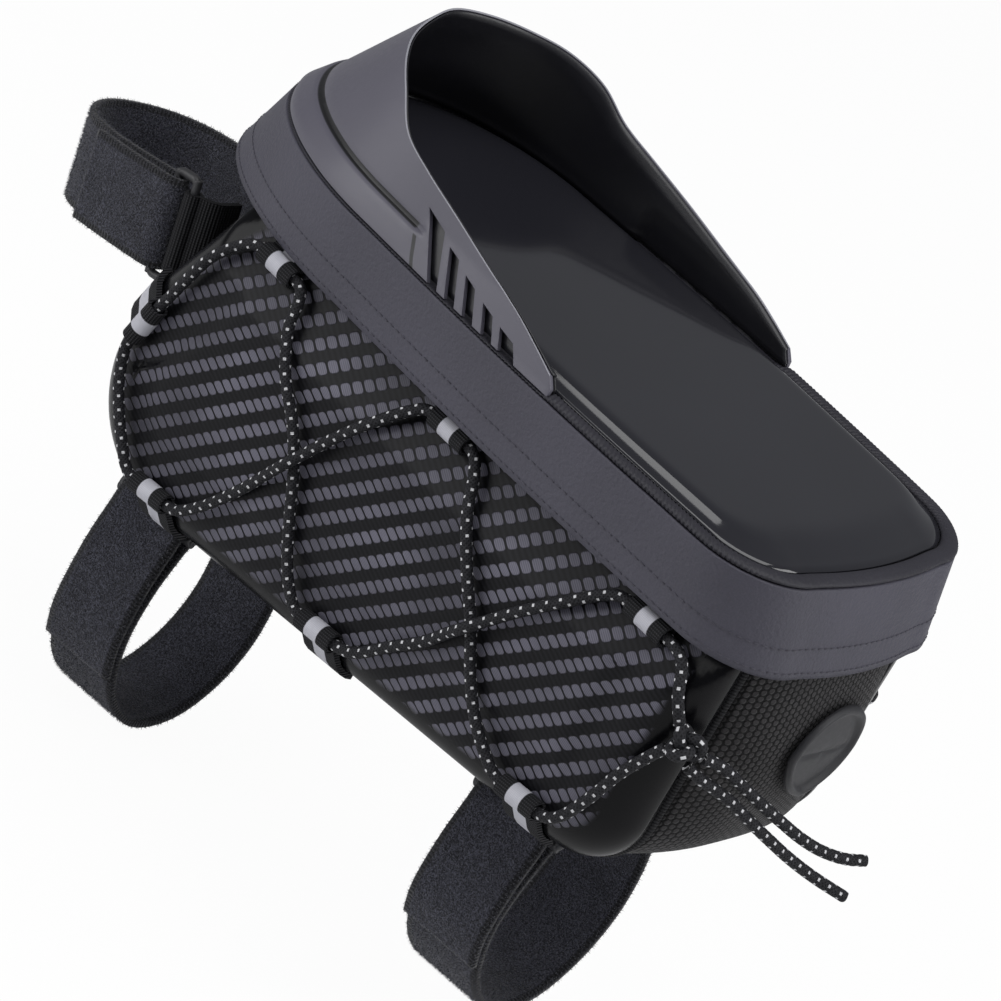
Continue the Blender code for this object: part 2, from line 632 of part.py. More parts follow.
def visor_sheet(name, base, levels, slot, parts):
    """Sheet between the visor's foot and its rim; each level has its share of the height and its outset."""
    rows = []
    for share, outset in levels:
        row = []
        for (bx, by), (rx, ry, rz) in zip(base, VISOR_RIM):
            x = mix(bx, rx, share)
            y = mix(by, ry, share)
            out = Vector((x - NOSE_CENTRE_X, y)) if x < NOSE_CENTRE_X else Vector((0.0, 1.0))
            out.normalize()
            fade = min(1.0, rz / 0.012) if outset > 0 else 1.0
            z = mix(VISOR_BASE_Z, LID_Z + rz, share)
            row.append((x + out.x * outset * fade, max(0.0, y + out.y * outset * fade), z))
        row[0] = (row[0][0], 0.0, row[0][2])
        rows.append([(x, -y, z) for x, y, z in row[:0:-1]] + row)
    return grid(name, rows, slot, parts, flip=True)


def visor(parts, cutters):
    """Open-topped sun visor round the lid's nose, stepped in above its base band and slotted in its sides."""
    base = [(x, plan_half_width(x, VISOR_INSET)) for x in VISOR_BASE_X]
    base[0] = (base[0][0], 0.0)
    liner_inset = VISOR_WALL + 2 * GAP
    levels = ((0.0, VISOR_STEP), (0.32, VISOR_STEP), (0.37, 0.0), (0.68, 0.0004), (1.0, 0.0))
    liner_levels = ((0.0, -liner_inset), (0.68, -liner_inset), (0.97, -liner_inset - GAP))
    liner = visor_sheet("visor_liner", base, liner_levels, "visor_lining", parts)
    thicken(liner, VISOR_LINER)
    sheet = visor_sheet("sun_visor", base, levels, "visor_sheet", parts)
    thicken(sheet, VISOR_WALL)
    outlines = [[(x, z + LID_Z) for x, z in slot] for slot in VISOR_SLOTS]
    for i, outline in enumerate(outlines):
        cutter = plate(f"cut_slot_{i + 1}", [outline], 0.13, None, cutters)
        place(cutter, (1, 0, 0), (0, 0, 1), (0.0, 0.0, 0.0))
        solid = bpy.data.objects.new(f"cut_slot_{i + 1}", bpy.data.meshes.new_from_object(cutter))
        build = bmesh.new()
        build.from_mesh(solid.data)
        bmesh.ops.remove_doubles(build, verts=build.verts, dist=1e-6)
        bmesh.ops.recalc_face_normals(build, faces=build.faces)
        build.to_mesh(solid.data)
        build.free()
        solid.matrix_world = cutter.matrix_world
        bpy.data.objects.remove(cutter, do_unlink=True)
        cutters.objects.link(solid)
        solid.display_type = "WIRE"
        solid.hide_render = True
        modifier = sheet.modifiers.new(f"slot_{i + 1}", "BOOLEAN")
        modifier.operation = "DIFFERENCE"
        modifier.solver = "EXACT"
        modifier.object = solid


def cable_port(parts):
    """Rubber patch over the rear cable opening, following the gusset's bulge."""
    rows = []
    for share in (0.02, 0.4, 0.75, 1.0):
        row = []
        for i in range(28):
            turn = math.tau * i / 28
            narrow = 1.0 - 0.22 * max(0.0, -math.sin(turn)) * abs(math.cos(turn))
            y = PORT_CENTRE[0] + PORT_SIZE[0] / 2 * share * math.cos(turn) * narrow
            z = PORT_CENTRE[1] + PORT_SIZE[1] / 2 * share * math.sin(turn) * narrow
            x = SEAM_REAR_X + gusset_bulge(SEAM_REAR_X, z, y) + GAP + 0.0003
            row.append((x, y, z))
        rows.append(row)
    patch = grid("cable_port", rows[::-1], "port_rubber", parts, wrap=True, cap=True)
    thicken(patch, PORT_THICK, 1.0)


def offset_path(path, distance):
    """Open path moved sideways by a distance."""
    moved = []
    for i, point in enumerate(path):
        before = Vector(path[max(0, i - 1)])
        after = Vector(path[min(len(path) - 1, i + 1)])
        along = (after - before).normalized()
        here = Vector(point)
        if 0 < i < len(path) - 1:
            first = (here - before).normalized()
            bend = max(0.6, first.dot(along))
        else:
            bend = 1.0
        moved.append((point[0] - along.y * distance / bend, point[1] + along.x * distance / bend))
    return moved


def smooth_path(path, steps):
    """Rounded path through hand-set points."""
    result = []
    for i in range(len(path) - 1):
        p0 = Vector(path[max(0, i - 1)])
        p1 = Vector(path[i])
        p2 = Vector(path[i + 1])
        p3 = Vector(path[min(len(path) - 1, i + 2)])
        for k in range(steps):
            t = k / steps
            point = 0.5 * (2 * p1 + (p2 - p0) * t + (2 * p0 - 5 * p1 + 4 * p2 - p3) * t * t
                           + (3 * p1 - p0 - 3 * p2 + p3) * t ** 3)
            result.append(tuple(point))
    result.append(tuple(path[-1]))
    return result


def band(name, path, thick, width, slot, parts):
    """Flat band whose edge view follows a path."""
    return plate(name, [offset_path(path, thick / 2) + offset_path(path, -thick / 2)[::-1]], width, slot, parts)


def eye_band(name, centre, tail, hole, outer, thick, width, slot, parts):
    """Band folded round a bar or cord and sewn to itself along its tail."""
    centre = Vector(centre)
    first = (Vector(tail[0]) - centre).normalized()
    lead = centre + first * outer
    line = [tuple(lead)] + list(tail)
    left = offset_path(line, thick / 2)[1:]
    right = offset_path(line, -thick / 2)[1:]
    base = math.atan2(first.y, first.x)
    open_angle = math.asin(thick / 2 / outer)
    outline = []
    for i in range(17):
        turn = base + open_angle + (math.tau - 2 * open_angle) * i / 16
        outline.append((centre.x + outer * math.cos(turn), centre.y + outer * math.sin(turn)))
    outline += right + left[::-1]
    eye = [(centre.x + hole * math.cos(math.tau * i / 14), centre.y + hole * math.sin(math.tau * i / 14))
           for i in range(14)]
    return plate(name, [outline, eye], width, slot, parts)


def ring(name, parts):
    """Oblong ring for a strap, long along its own Z."""
    half = RING_PITCH / 2
    end = RING_LENGTH / 2
    corner = 0.0012
    points = [
        (0.0, -half, -end + corner), (0.0, -half + corner, -end), (0.0, half - corner, -end),
        (0.0, half, -end + corner), (0.0, half, end - corner), (0.0, half - corner, end),
        (0.0, -half + corner, end), (0.0, -half, end - corner),
    ]
    return tube(name, points, RING_BAR, "ring_plastic", parts, closed=True)


def strap_set(name, route, far_bar, tilt, tab_tail, frame, parts):
    """Strap, ring and tab in one plane; frame gives the plane's two directions and its origin."""
    x_axis, y_axis, origin = frame
    strap = band(f"{name}_strap", smooth_path(route, 2), STRAP_THICK, STRAP_WIDTH, "hook_and_loop", parts)
    place(strap, x_axis, y_axis, origin)
    tilt = Vector(tilt).normalized()
    middle = Vector(far_bar) - tilt * RING_PITCH / 2
    near = Vector(far_bar) - tilt * RING_PITCH
    tab = eye_band(
        f"{name}_ring_tab", tuple(near), tab_tail, RING_BAR + GAP, RING_BAR + GAP + 0.0010, TAB_THICK, TAB_WIDTH,
        "webbing", parts)
    place(tab, x_axis, y_axis, origin)
    hoop = ring(f"{name}_ring", parts)
    x_axis = Vector(x_axis).normalized()
    y_axis = Vector(y_axis).normalized()
    along = x_axis * tilt.x + y_axis * tilt.y
    width = x_axis.cross(y_axis)
    turn = Matrix((along.cross(width), along, width)).transposed().to_4x4()
    hoop.matrix_world = Matrix.Translation(Vector(origin) + x_axis * middle.x + y_axis * middle.y) @ turn


def straps(parts):
    """Two straps under the bag and one in front of it."""
    below = (math.sin(SLOPE), 0.0, -math.cos(SLOPE))
    for name, x, drop in zip(("bottom_front", "bottom_rear"), BOTTOM_STRAPS_X, BOTTOM_STRAP_DROPS):
        frame = ((0, 1, 0), below, (x, 0.0, SEAT_SLOPE * x))
        tail = [(-0.0118, 0.0038), (-0.0100, 0.0016), (-0.0045, 0.0013)]
        route = [(y, down + drop * min(1.0, max(0.0, (down - 0.020) / 0.030))) for y, down in BOTTOM_STRAP_ROUTE]
        strap_set(name, route, BOTTOM_RING, BOTTOM_RING_TILT, tail, frame, parts)
    ahead = (-math.cos(FRONT_STRAP_DROOP), 0.0, -math.sin(FRONT_STRAP_DROOP))
    lower_edge = front_seam(FRONT_STRAP_Z - STRAP_WIDTH / 2)[0] - math.sin(FRONT_STRAP_DROOP) * STRAP_WIDTH / 2
    frame = ((0, 1, 0), ahead, (lower_edge - FRONT_BULGE - GAP, 0.0, FRONT_STRAP_Z))
    tail = [(-0.0190, 0.0040), (-0.0165, 0.0020), (-0.0100, 0.0014)]
    strap_set("front", FRONT_STRAP_ROUTE, FRONT_RING, FRONT_RING_TILT, tail, frame, parts)


def margin_point(turn, lift):
    """Point over the shell's rounded margin, as depth from the seam and distance from the middle plane."""
    depth = MARGIN_INSET * (1 - math.cos(turn))
    y = SHELL_EDGE_Y + MARGIN_RISE * math.sin(turn)
    normal = Vector((-math.cos(turn) / MARGIN_INSET, math.sin(turn) / MARGIN_RISE)).normalized()
    return (depth + normal.x * lift, y + normal.y * lift)


def webbing_loops(side, label, parts):
    """Loops of one side: three under the skirt, one at the front edge and three at the bottom edge."""
    lean = Vector((SHELL_TOP_LEAN, -1.0)).normalized()
    normal = Vector((-lean.y, lean.x))
    surface = Vector((SHELL_TOP_Y + (BODY_TOP_Z - TOP_LOOP_Z) * SHELL_TOP_LEAN, TOP_LOOP_Z))
    centre = surface + normal * LOOP_LIFT
    low = LOOP_TAIL / 2 + GAP
    tail = [tuple(surface - lean * 0.0040 + normal * (low + 0.0004)), tuple(surface - lean * 0.0085 + normal * low)]
    for i, x in enumerate(TOP_LOOPS_X):
        loop = eye_band(
            f"loop_{label}_top_{i + 1}", tuple(centre), tail, LOOP_HOLE, LOOP_RADIUS, LOOP_TAIL, LOOP_WIDTH,
            "webbing", parts)
        place(loop, (0, side, 0), (0, 0, 1), (x, 0.0, 0.0))
    centre = margin_point(LOOP_SEAT_TURN, LOOP_LIFT)
    tail = [margin_point(math.radians(turn), low + 0.0001) for turn in (55.0, 42.0, 30.0, 18.0, 8.0)]
    inward = Vector((-math.sin(SLOPE), 0.0, math.cos(SLOPE)))
    edge_loops = [
        (f"loop_{label}_bottom_{i + 1}", inward, (x, 0.0, SEAT_SLOPE * x)) for i, x in enumerate(BOTTOM_LOOPS_X)
    ]
    x, z, nx, nz = front_seam(FRONT_LOOP_Z)
    edge_loops.append((f"loop_{label}_front", Vector((-nx, 0.0, -nz)), (x, 0.0, z)))
    for name, direction, origin in edge_loops:
        loop = eye_band(name, centre, tail, LOOP_HOLE, LOOP_RADIUS, LOOP_TAIL, LOOP_WIDTH, "webbing", parts)
        place(loop, direction, (0, side, 0), origin)


def lacing(side, label, parts):
    """Cord laced through one side's loops, ending at its knot."""
    points = []
    start, end = LACING_ENDS[label]
    for x, z, lift in start + LACING + end:
        points.append((x, side * (shell_y(x, z) + lift), z))
    tube(f"lacing_{label}", points, CORD_RADIUS, "cord_braid", parts)
    build = bmesh.new()
    bmesh.ops.create_uvsphere(build, u_segments=16, v_segments=8, radius=1.0)
    bmesh.ops.scale(build, vec=KNOT_RADII, verts=build.verts)
    mesh = bpy.data.meshes.new(f"knot_{label}")
    build.to_mesh(mesh)
    build.free()
    knot = add_object(f"knot_{label}", mesh, "cord_braid", parts)
    knot.location = KNOTS[label]


def main():
    """Build the whole bag."""
    empty_scene()
    parts = bpy.data.collections.new("bike_phone_bag")
    cutters = bpy.data.collections.new("cutters")
    bpy.context.scene.collection.children.link(parts)
    bpy.context.scene.collection.children.link(cutters)
    cutters.hide_render = True
    bag_body(parts)
    zip_slider(parts)
    lid(parts)
    visor(parts, cutters)
    cable_port(parts)
    straps(parts)
    for side, label in ((-1, "left"), (1, "right")):
        webbing_loops(side, label, parts)
        lacing(side, label, parts)
    for name, route in TAIL_ROUTES.items():
        tube(name, route, CORD_RADIUS, "cord_braid", parts)


main()
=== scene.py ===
"""Looks of the bike bag: every piece's finished mesh and finish, the camera, the lamps and the floor."""

import math

import bmesh
import bpy
import numpy as np
from mathutils import Matrix, Vector


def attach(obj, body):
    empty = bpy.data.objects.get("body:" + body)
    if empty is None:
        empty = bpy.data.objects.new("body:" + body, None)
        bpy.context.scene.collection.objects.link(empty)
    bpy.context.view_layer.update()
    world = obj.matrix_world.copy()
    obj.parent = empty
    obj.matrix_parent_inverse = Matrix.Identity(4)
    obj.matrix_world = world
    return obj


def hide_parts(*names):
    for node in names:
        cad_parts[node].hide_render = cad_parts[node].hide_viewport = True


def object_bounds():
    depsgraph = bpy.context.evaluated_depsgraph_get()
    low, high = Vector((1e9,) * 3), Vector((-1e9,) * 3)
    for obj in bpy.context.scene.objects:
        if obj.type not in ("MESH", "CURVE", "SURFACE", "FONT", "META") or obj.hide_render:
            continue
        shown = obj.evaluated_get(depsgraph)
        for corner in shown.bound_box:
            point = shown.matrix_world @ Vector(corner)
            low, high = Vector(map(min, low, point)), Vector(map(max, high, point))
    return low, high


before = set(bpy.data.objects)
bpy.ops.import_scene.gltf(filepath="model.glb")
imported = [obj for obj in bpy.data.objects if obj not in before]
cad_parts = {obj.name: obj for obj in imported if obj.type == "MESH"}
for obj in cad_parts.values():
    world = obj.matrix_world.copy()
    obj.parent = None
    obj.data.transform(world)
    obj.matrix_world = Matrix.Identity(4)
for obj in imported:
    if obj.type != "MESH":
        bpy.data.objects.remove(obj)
cad_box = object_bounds()

# Clearance between neighbouring pieces
GAP = 0.0003

# Lid outline at its top edge and at the skirt's hem
LID_Z = 0.1005
NOSE_CENTRE_X = -0.0415
NOSE_LENGTH = 0.0629
LID_HALF_WIDTH = 0.0472
LID_REAR_X = 0.1000
CORNER_RADIUS = 0.0229
SIDE_BOW = 0.0017
REAR_BOW = 0.0021
HEM_DROP = 0.0219
HEM_NOSE_LENGTH = 0.0723
HEM_HALF_WIDTH = 0.0452
HEM_REAR_X = 0.1060
SKIRT_WALL = 0.0015

# Rim bead and window film
BEAD_WIDTH = 0.0049
BEAD_RISE = 0.0015
FILM_THICK = 0.0008
FILM_RISE = 0.0040

# Visor
VISOR_WALL = 0.0012
VISOR_INSET = 0.0024
VISOR_BASE_Z = LID_Z + 0.0029
VISOR_LINER = 0.0007
VISOR_FOOT_DROP = 0.0018
VISOR_FLARE = 0.0019
VISOR_GROOVE_TOP = 0.0072
VISOR_FLARE_REACH = 0.0115
VISOR_BAND_END_X = -0.0270
VISOR_BAND_FADE = 0.0030
VISOR_SLOT_FOOT_Z = -0.0010
VISOR_RIM = [
    (-0.0789, 0.0000, 0.0372), (-0.0760, 0.0114, 0.0369), (-0.0710, 0.0228, 0.0355),
    (-0.0636, 0.0321, 0.0338), (-0.0547, 0.0387, 0.0302), (-0.0458, 0.0425, 0.0242),
    (-0.0346, 0.0443, 0.0211), (-0.0202, 0.0455, 0.0179), (-0.0053, 0.0465, 0.0143),
    (0.0080, 0.0470, 0.0112), (0.0165, 0.0470, 0.0084), (0.0240, 0.0468, 0.0055),
]
VISOR_BASE_X = [-0.1020, -0.0985, -0.0890, -0.0770, -0.0630, -0.0510, -0.0390, -0.0220, -0.0060,
                0.0080, 0.0178, 0.0262]
VISOR_SLOTS = [
    [(-0.0289, 0.0149), (-0.0214, 0.0131), (-0.0159, 0.0038), (-0.0200, 0.0038)],
    [(-0.0179, 0.0113), (-0.0137, 0.0106), (-0.0094, 0.0038), (-0.0131, 0.0038)],
    [(-0.0098, 0.0091), (-0.0055, 0.0082), (-0.0026, 0.0038), (-0.0064, 0.0038)],
    [(-0.0016, 0.0072), (0.0026, 0.0064), (0.0044, 0.0038), (0.0006, 0.0038)],
    [(0.0058, 0.0058), (0.0112, 0.0050), (0.0122, 0.0038), (0.0070, 0.0038)],
]

# Body outline in side view: the seam between the shells and the gusset
SEAT_SLOPE = 0.11
SEAM_FRONT_X = -0.0986
SEAM_REAR_X = 0.0985
SEAM_STEP = 0.0150
LEG_STEP = 0.0055
BODY_TOP_Z = LID_Z - 0.0170
SEAM_CORNERS = [
    (-0.0785, BODY_TOP_Z, 0.0),
    (SEAM_FRONT_X, 0.0380, 0.0600),
    (SEAM_FRONT_X, SEAT_SLOPE * SEAM_FRONT_X, 0.0320),
    (SEAM_REAR_X, SEAT_SLOPE * SEAM_REAR_X, 0.0200),
    (SEAM_REAR_X, BODY_TOP_Z, 0.0),
]

# Pitches of the shell's weave and of the gusset's mesh
WEAVE_ROW = 0.0060
WEAVE_FLOAT = 0.0028
MESH_ROW = 0.00155

# Gusset
GUSSET_HALF_WIDTH = 0.0302
GUSSET_WALL = 0.0025
REAR_BULGE = 0.0100
FRONT_BULGE = 0.0010

# Seam piping
PIPING_RADIUS = 0.0012
PIPING_INSET = 0.0006
PIPING_Y = GUSSET_HALF_WIDTH + GAP + PIPING_RADIUS

# Side shells
SHELL_EDGE_Y = PIPING_Y + PIPING_RADIUS + 3 * GAP
SHELL_WALL = 0.0030
MARGIN_INSET = 0.0140
MARGIN_RISE = 0.0118
SHELL_DOME = 0.0016
SHELL_TOP_Y = 0.0345
SHELL_TOP_LEAN = 0.58
TUCK = 0.0015

# Opening collar and zip
COLLAR_HALF_WIDTH = 0.0310
COLLAR_FRONT_X = -0.0752
COLLAR_REAR_X = 0.0955
COLLAR_RADIUS = 0.0120
COLLAR_WALL = 0.0015
COLLAR_TOP_Z = LID_Z - 0.0100
COLLAR_HEIGHT = 0.0200
ZIP_START_X = -0.0600
ZIP_THICK = 0.0016
ZIP_TOP_Z = LID_Z - 0.0116
ZIP_HEIGHT = 0.0040
SLIDER_X = -0.0500

# Rubber cable port on the rear end
PORT_CENTRE = (0.0025, 0.0550)
PORT_SIZE = (0.0280, 0.0280)

# Hook and loop straps with their rings
STRAP_WIDTH = 0.0250
STRAP_THICK = 0.0018
RING_BAR = 0.0012
RING_LENGTH = 0.0290
RING_PITCH = 0.0068
RING_CORNER = 0.0016
TAB_WIDTH = 0.0220
TAB_THICK = 0.0016
BOTTOM_STRAPS_X = (-0.0806, 0.0564)
BOTTOM_STRAP_DROPS = (0.0037, -0.0033)
BOTTOM_STRAP_ROUTE = [
    (0.0010, 0.0014), (0.0110, 0.0014), (0.0205, 0.0065), (0.0275, 0.0160), (0.0305, 0.0300),
    (0.0285, 0.0460), (0.0210, 0.0590), (0.0090, 0.0680), (-0.0040, 0.0700), (-0.0145, 0.0660),
    (-0.0225, 0.0560), (-0.0250, 0.0420), (-0.0220, 0.0290), (-0.0170, 0.0190), (-0.0144, 0.0142),
    (-0.0153, 0.0109), (-0.0182, 0.0113), (-0.0204, 0.0165), (-0.0246, 0.0275), (-0.0275, 0.0420),
    (-0.0262, 0.0520),
]
BOTTOM_RING = (-0.0165, 0.0130)
BOTTOM_RING_TILT = (-0.50, 0.87)
FRONT_STRAP_Z = LID_Z - 0.0510
FRONT_STRAP_DROOP = math.radians(10.0)
FRONT_STRAP_ROUTE = [
    (0.0050, 0.0014), (0.0110, 0.0018), (0.0162, 0.0085), (0.0185, 0.0240), (0.0180, 0.0420),
    (0.0125, 0.0540), (0.0020, 0.0610), (-0.0080, 0.0600), (-0.0155, 0.0530), (-0.0185, 0.0420),
    (-0.0186, 0.0300), (-0.0180, 0.0200), (-0.0176, 0.0155), (-0.0200, 0.0131), (-0.0224, 0.0155),
    (-0.0227, 0.0220), (-0.0225, 0.0320), (-0.0218, 0.0440),
]
FRONT_RING = (-0.0200, 0.0155)
FRONT_RING_TILT = (0.0, 1.0)

# Lacing cord and the webbing loops that hold it
CORD_RADIUS = 0.0015
BRAID_PITCH = 0.0021
LOOP_HOLE = CORD_RADIUS + 0.0005
LOOP_RADIUS = 0.0028
LOOP_TAIL = 0.0016
LOOP_WIDTH = 0.0120
LOOP_LIFT = LOOP_RADIUS + GAP
TOP_LOOPS_X = (-0.0610, 0.0050, 0.0760)
TOP_LOOP_Z = LID_Z - 0.0275
BOTTOM_LOOPS_X = (-0.0600, 0.0030, 0.0740)
FRONT_LOOP_Z = LID_Z - 0.0590
LOOP_SEAT_TURN = math.radians(78.0)

# Route of the lacing on one side, as x, z and height over the shell
FACE = 0.0025
OVER = 0.0057
EDGE = 0.0032
UNDER_SKIRT = 0.0036
LACING = [
    (0.0890, 0.0732, UNDER_SKIRT), (0.0828, 0.0746, UNDER_SKIRT), (0.0692, 0.0746, UNDER_SKIRT),
    (0.0635, 0.0722, UNDER_SKIRT), (0.0560, 0.0640, FACE), (0.0490, 0.0560, FACE), (0.0432, 0.0485, 0.0036),
    (0.0395, 0.0435, OVER), (0.0355, 0.0385, 0.0036), (0.0300, 0.0310, FACE), (0.0215, 0.0220, 0.0029),
    (0.0150, 0.0148, EDGE), (0.0083, 0.0115, EDGE), (-0.0046, 0.0101, EDGE), (-0.0100, 0.0130, EDGE),
    (-0.0145, 0.0185, 0.0029), (-0.0190, 0.0265, FACE), (-0.0225, 0.0340, FACE), (-0.0262, 0.0410, FACE),
    (-0.0320, 0.0490, FACE), (-0.0400, 0.0570, FACE), (-0.0470, 0.0660, 0.0030),
    (-0.0500, 0.0720, UNDER_SKIRT), (-0.0542, 0.0746, UNDER_SKIRT), (-0.0678, 0.0746, UNDER_SKIRT),
    (-0.0728, 0.0720, UNDER_SKIRT), (-0.0770, 0.0655, 0.0032), (-0.0805, 0.0565, 0.0032),
    (-0.0825, 0.0500, EDGE), (-0.0843, 0.0447, EDGE), (-0.0880, 0.0323, EDGE), (-0.0878, 0.0275, EDGE),
    (-0.0850, 0.0205, 0.0031), (-0.0802, 0.0135, 0.0031), (-0.0750, 0.0075, 0.0031), (-0.0717, 0.0042, EDGE),
    (-0.0676, 0.0031, EDGE), (-0.0547, 0.0046, EDGE), (-0.0495, 0.0075, EDGE), (-0.0430, 0.0150, 0.0029),
    (-0.0360, 0.0255, FACE), (-0.0300, 0.0355, 0.0036), (-0.0262, 0.0410, OVER), (-0.0232, 0.0470, 0.0036),
    (-0.0185, 0.0550, FACE), (-0.0130, 0.0630, 0.0029), (-0.0068, 0.0715, UNDER_SKIRT),
    (-0.0018, 0.0746, UNDER_SKIRT), (0.0118, 0.0746, UNDER_SKIRT), (0.0170, 0.0718, UNDER_SKIRT),
    (0.0230, 0.0640, FACE), (0.0310, 0.0540, FACE), (0.0395, 0.0435, FACE), (0.0450, 0.0345, FACE),
    (0.0520, 0.0262, 0.0029), (0.0600, 0.0202, EDGE), (0.0664, 0.0179, EDGE), (0.0793, 0.0193, EDGE),
    (0.0845, 0.0230, EDGE),
]
LACING_ENDS = {
    "left": (
        [(0.0967, 0.0610, 0.0045), (0.0938, 0.0670, 0.0034)],
        [(0.0885, 0.0320, 0.0032), (0.0915, 0.0420, 0.0032), (0.0950, 0.0502, 0.0040), (0.0971, 0.0543, 0.0056)],
    ),
    "right": (
        [(0.0872, 0.0517, 0.0045), (0.0880, 0.0590, 0.0034), (0.0897, 0.0670, 0.0034)],
        [(0.0872, 0.0290, 0.0033), (0.0876, 0.0360, 0.0038), (0.0873, 0.0421, 0.0046)],
    ),
}
KNOTS = {"left": (0.1003, -0.0433, 0.0578), "right": (0.0873, 0.0508, 0.0470)}
TAIL_ROUTES = {
    "cord_tail_upper": [
        (0.1043, -0.0402, 0.0565), (0.1069, -0.0345, 0.0550), (0.1105, -0.0285, 0.0515),
        (0.1142, -0.0220, 0.0476), (0.1177, -0.0150, 0.0437), (0.1210, -0.0080, 0.0400),
        (0.1241, -0.0010, 0.0372), (0.1274, 0.0055, 0.0361), (0.1301, 0.0110, 0.0366),
    ],
    "cord_tail_lower": [
        (0.1029, -0.0422, 0.0532), (0.1058, -0.0385, 0.0510), (0.1080, -0.0340, 0.0490),
        (0.1112, -0.0290, 0.0466), (0.1146, -0.0235, 0.0430), (0.1186, -0.0165, 0.0388),
        (0.1224, -0.0095, 0.0348), (0.1271, -0.0020, 0.0313), (0.1331, 0.0050, 0.0290),
    ],
}


def mix(a, b, share):
    """Value between a and b."""
    return a + (b - a) * share


def plan(level, inset=0.0, end_inset=0.0):
    """Lid outline seen from above; level runs from 0 at the top edge to 1 at the hem."""
    length = mix(NOSE_LENGTH, HEM_NOSE_LENGTH, level) - inset - end_inset
    half = mix(LID_HALF_WIDTH, HEM_HALF_WIDTH, level) - inset
    rear = mix(LID_REAR_X, HEM_REAR_X, level) - inset - end_inset
    radius = CORNER_RADIUS - inset
    side = []
    for i in range(12):
        turn = math.pi / 2 * i / 12
        side.append((NOSE_CENTRE_X - length * math.cos(turn), half * math.sin(turn)))
    for i in range(9):
        share = i / 9
        bow = SIDE_BOW * math.sin(math.pi * share)
        side.append((mix(NOSE_CENTRE_X, rear - radius, share), half + bow))
    for i in range(7):
        turn = math.pi / 2 * (1 - i / 6)
        side.append((rear - radius * (1 - math.cos(turn)), half - radius * (1 - math.sin(turn))))
    for i in range(1, 4):
        share = 1 - i / 3
        side.append((rear + REAR_BOW * (1 - share * share), (half - radius) * share))
    return side + [(x, -y) for x, y in side[-2:0:-1]]


def level_row(level, inset, height, end_inset=0.0):
    """Lid outline as 3-D points at a height over the lid's top edge."""
    return [(x, y, LID_Z + height) for x, y in plan(level, inset, end_inset)]


def plan_half_width(x, inset):
    """Half width of the lid's top outline at one x."""
    side = [point for point in plan(0.0, inset) if point[1] >= 0.0]
    for (x0, y0), (x1, y1) in zip(side, side[1:]):
        if x0 <= x <= x1:
            return mix(y0, y1, (x - x0) / (x1 - x0))
    return 0.0


SLOPE = math.atan(SEAT_SLOPE)


def seam_stations(leg_step=LEG_STEP, long_step=SEAM_STEP, turns=(4, 8, 6)):
    """Points of the seam with the outward direction at each, from the front top round to the rear top."""
    points = [SEAM_CORNERS[0][:2]]
    for before, corner, after, steps in zip(SEAM_CORNERS, SEAM_CORNERS[1:], SEAM_CORNERS[2:], turns):
        here = Vector(corner[:2])
        back = (Vector(before[:2]) - here).normalized()
        ahead = (Vector(after[:2]) - here).normalized()
        half = back.angle(ahead) / 2
        centre = here + (back + ahead).normalized() * corner[2] / math.sin(half)
        start = here + back * corner[2] / math.tan(half) - centre
        end = here + ahead * corner[2] / math.tan(half) - centre
        sweep = math.pi - 2 * half
        first = math.atan2(start.y, start.x)
        last_point = Vector(points[-1])
        step = leg_step if corner is SEAM_CORNERS[1] else long_step
        count = max(1, round((centre + start - last_point).length / step))
        for i in range(1, count):
            points.append(tuple(last_point.lerp(centre + start, i / count)))
        for i in range(steps):
            turn = first + sweep * i / steps
            points.append((centre.x + corner[2] * math.cos(turn), centre.y + corner[2] * math.sin(turn)))
        points.append(tuple(centre + end))
    last_point = Vector(points[-1])
    top = Vector(SEAM_CORNERS[-1][:2])
    count = round((top - last_point).length / leg_step)
    for i in range(1, count + 1):
        points.append(tuple(last_point.lerp(top, i / count)))
    stations = []
    for i, (x, z) in enumerate(points):
        along = (Vector(points[min(i + 1, len(points) - 1)]) - Vector(points[max(i - 1, 0)])).normalized()
        stations.append((x, z, along.y, -along.x))
    stations[0] = (*points[0], -1.0, 0.0)
    stations[-1] = (*points[-1], 1.0, 0.0)
    return stations


def seam_depth(x, z):
    """Distance of a side-view point inward from the seam."""
    stations = seam_stations()
    point = Vector((x, z))
    depth = 1.0
    for first, second in zip(stations, stations[1:]):
        start = Vector(first[:2])
        run = Vector(second[:2]) - start
        share = max(0.0, min(1.0, (point - start).dot(run) / run.length_squared))
        depth = min(depth, (point - start - run * share).length)
    return depth


def front_seam(z):
    """Point of the front seam at one height, with its outward direction."""
    for first, second in zip(seam_stations(), seam_stations()[1:]):
        if second[1] <= z <= first[1]:
            share = (first[1] - z) / (first[1] - second[1])
            x, _, nx, nz = (mix(a, b, share) for a, b in zip(first, second))
            return x, z, nx, nz
    return SEAM_FRONT_X, z, -1.0, 0.0


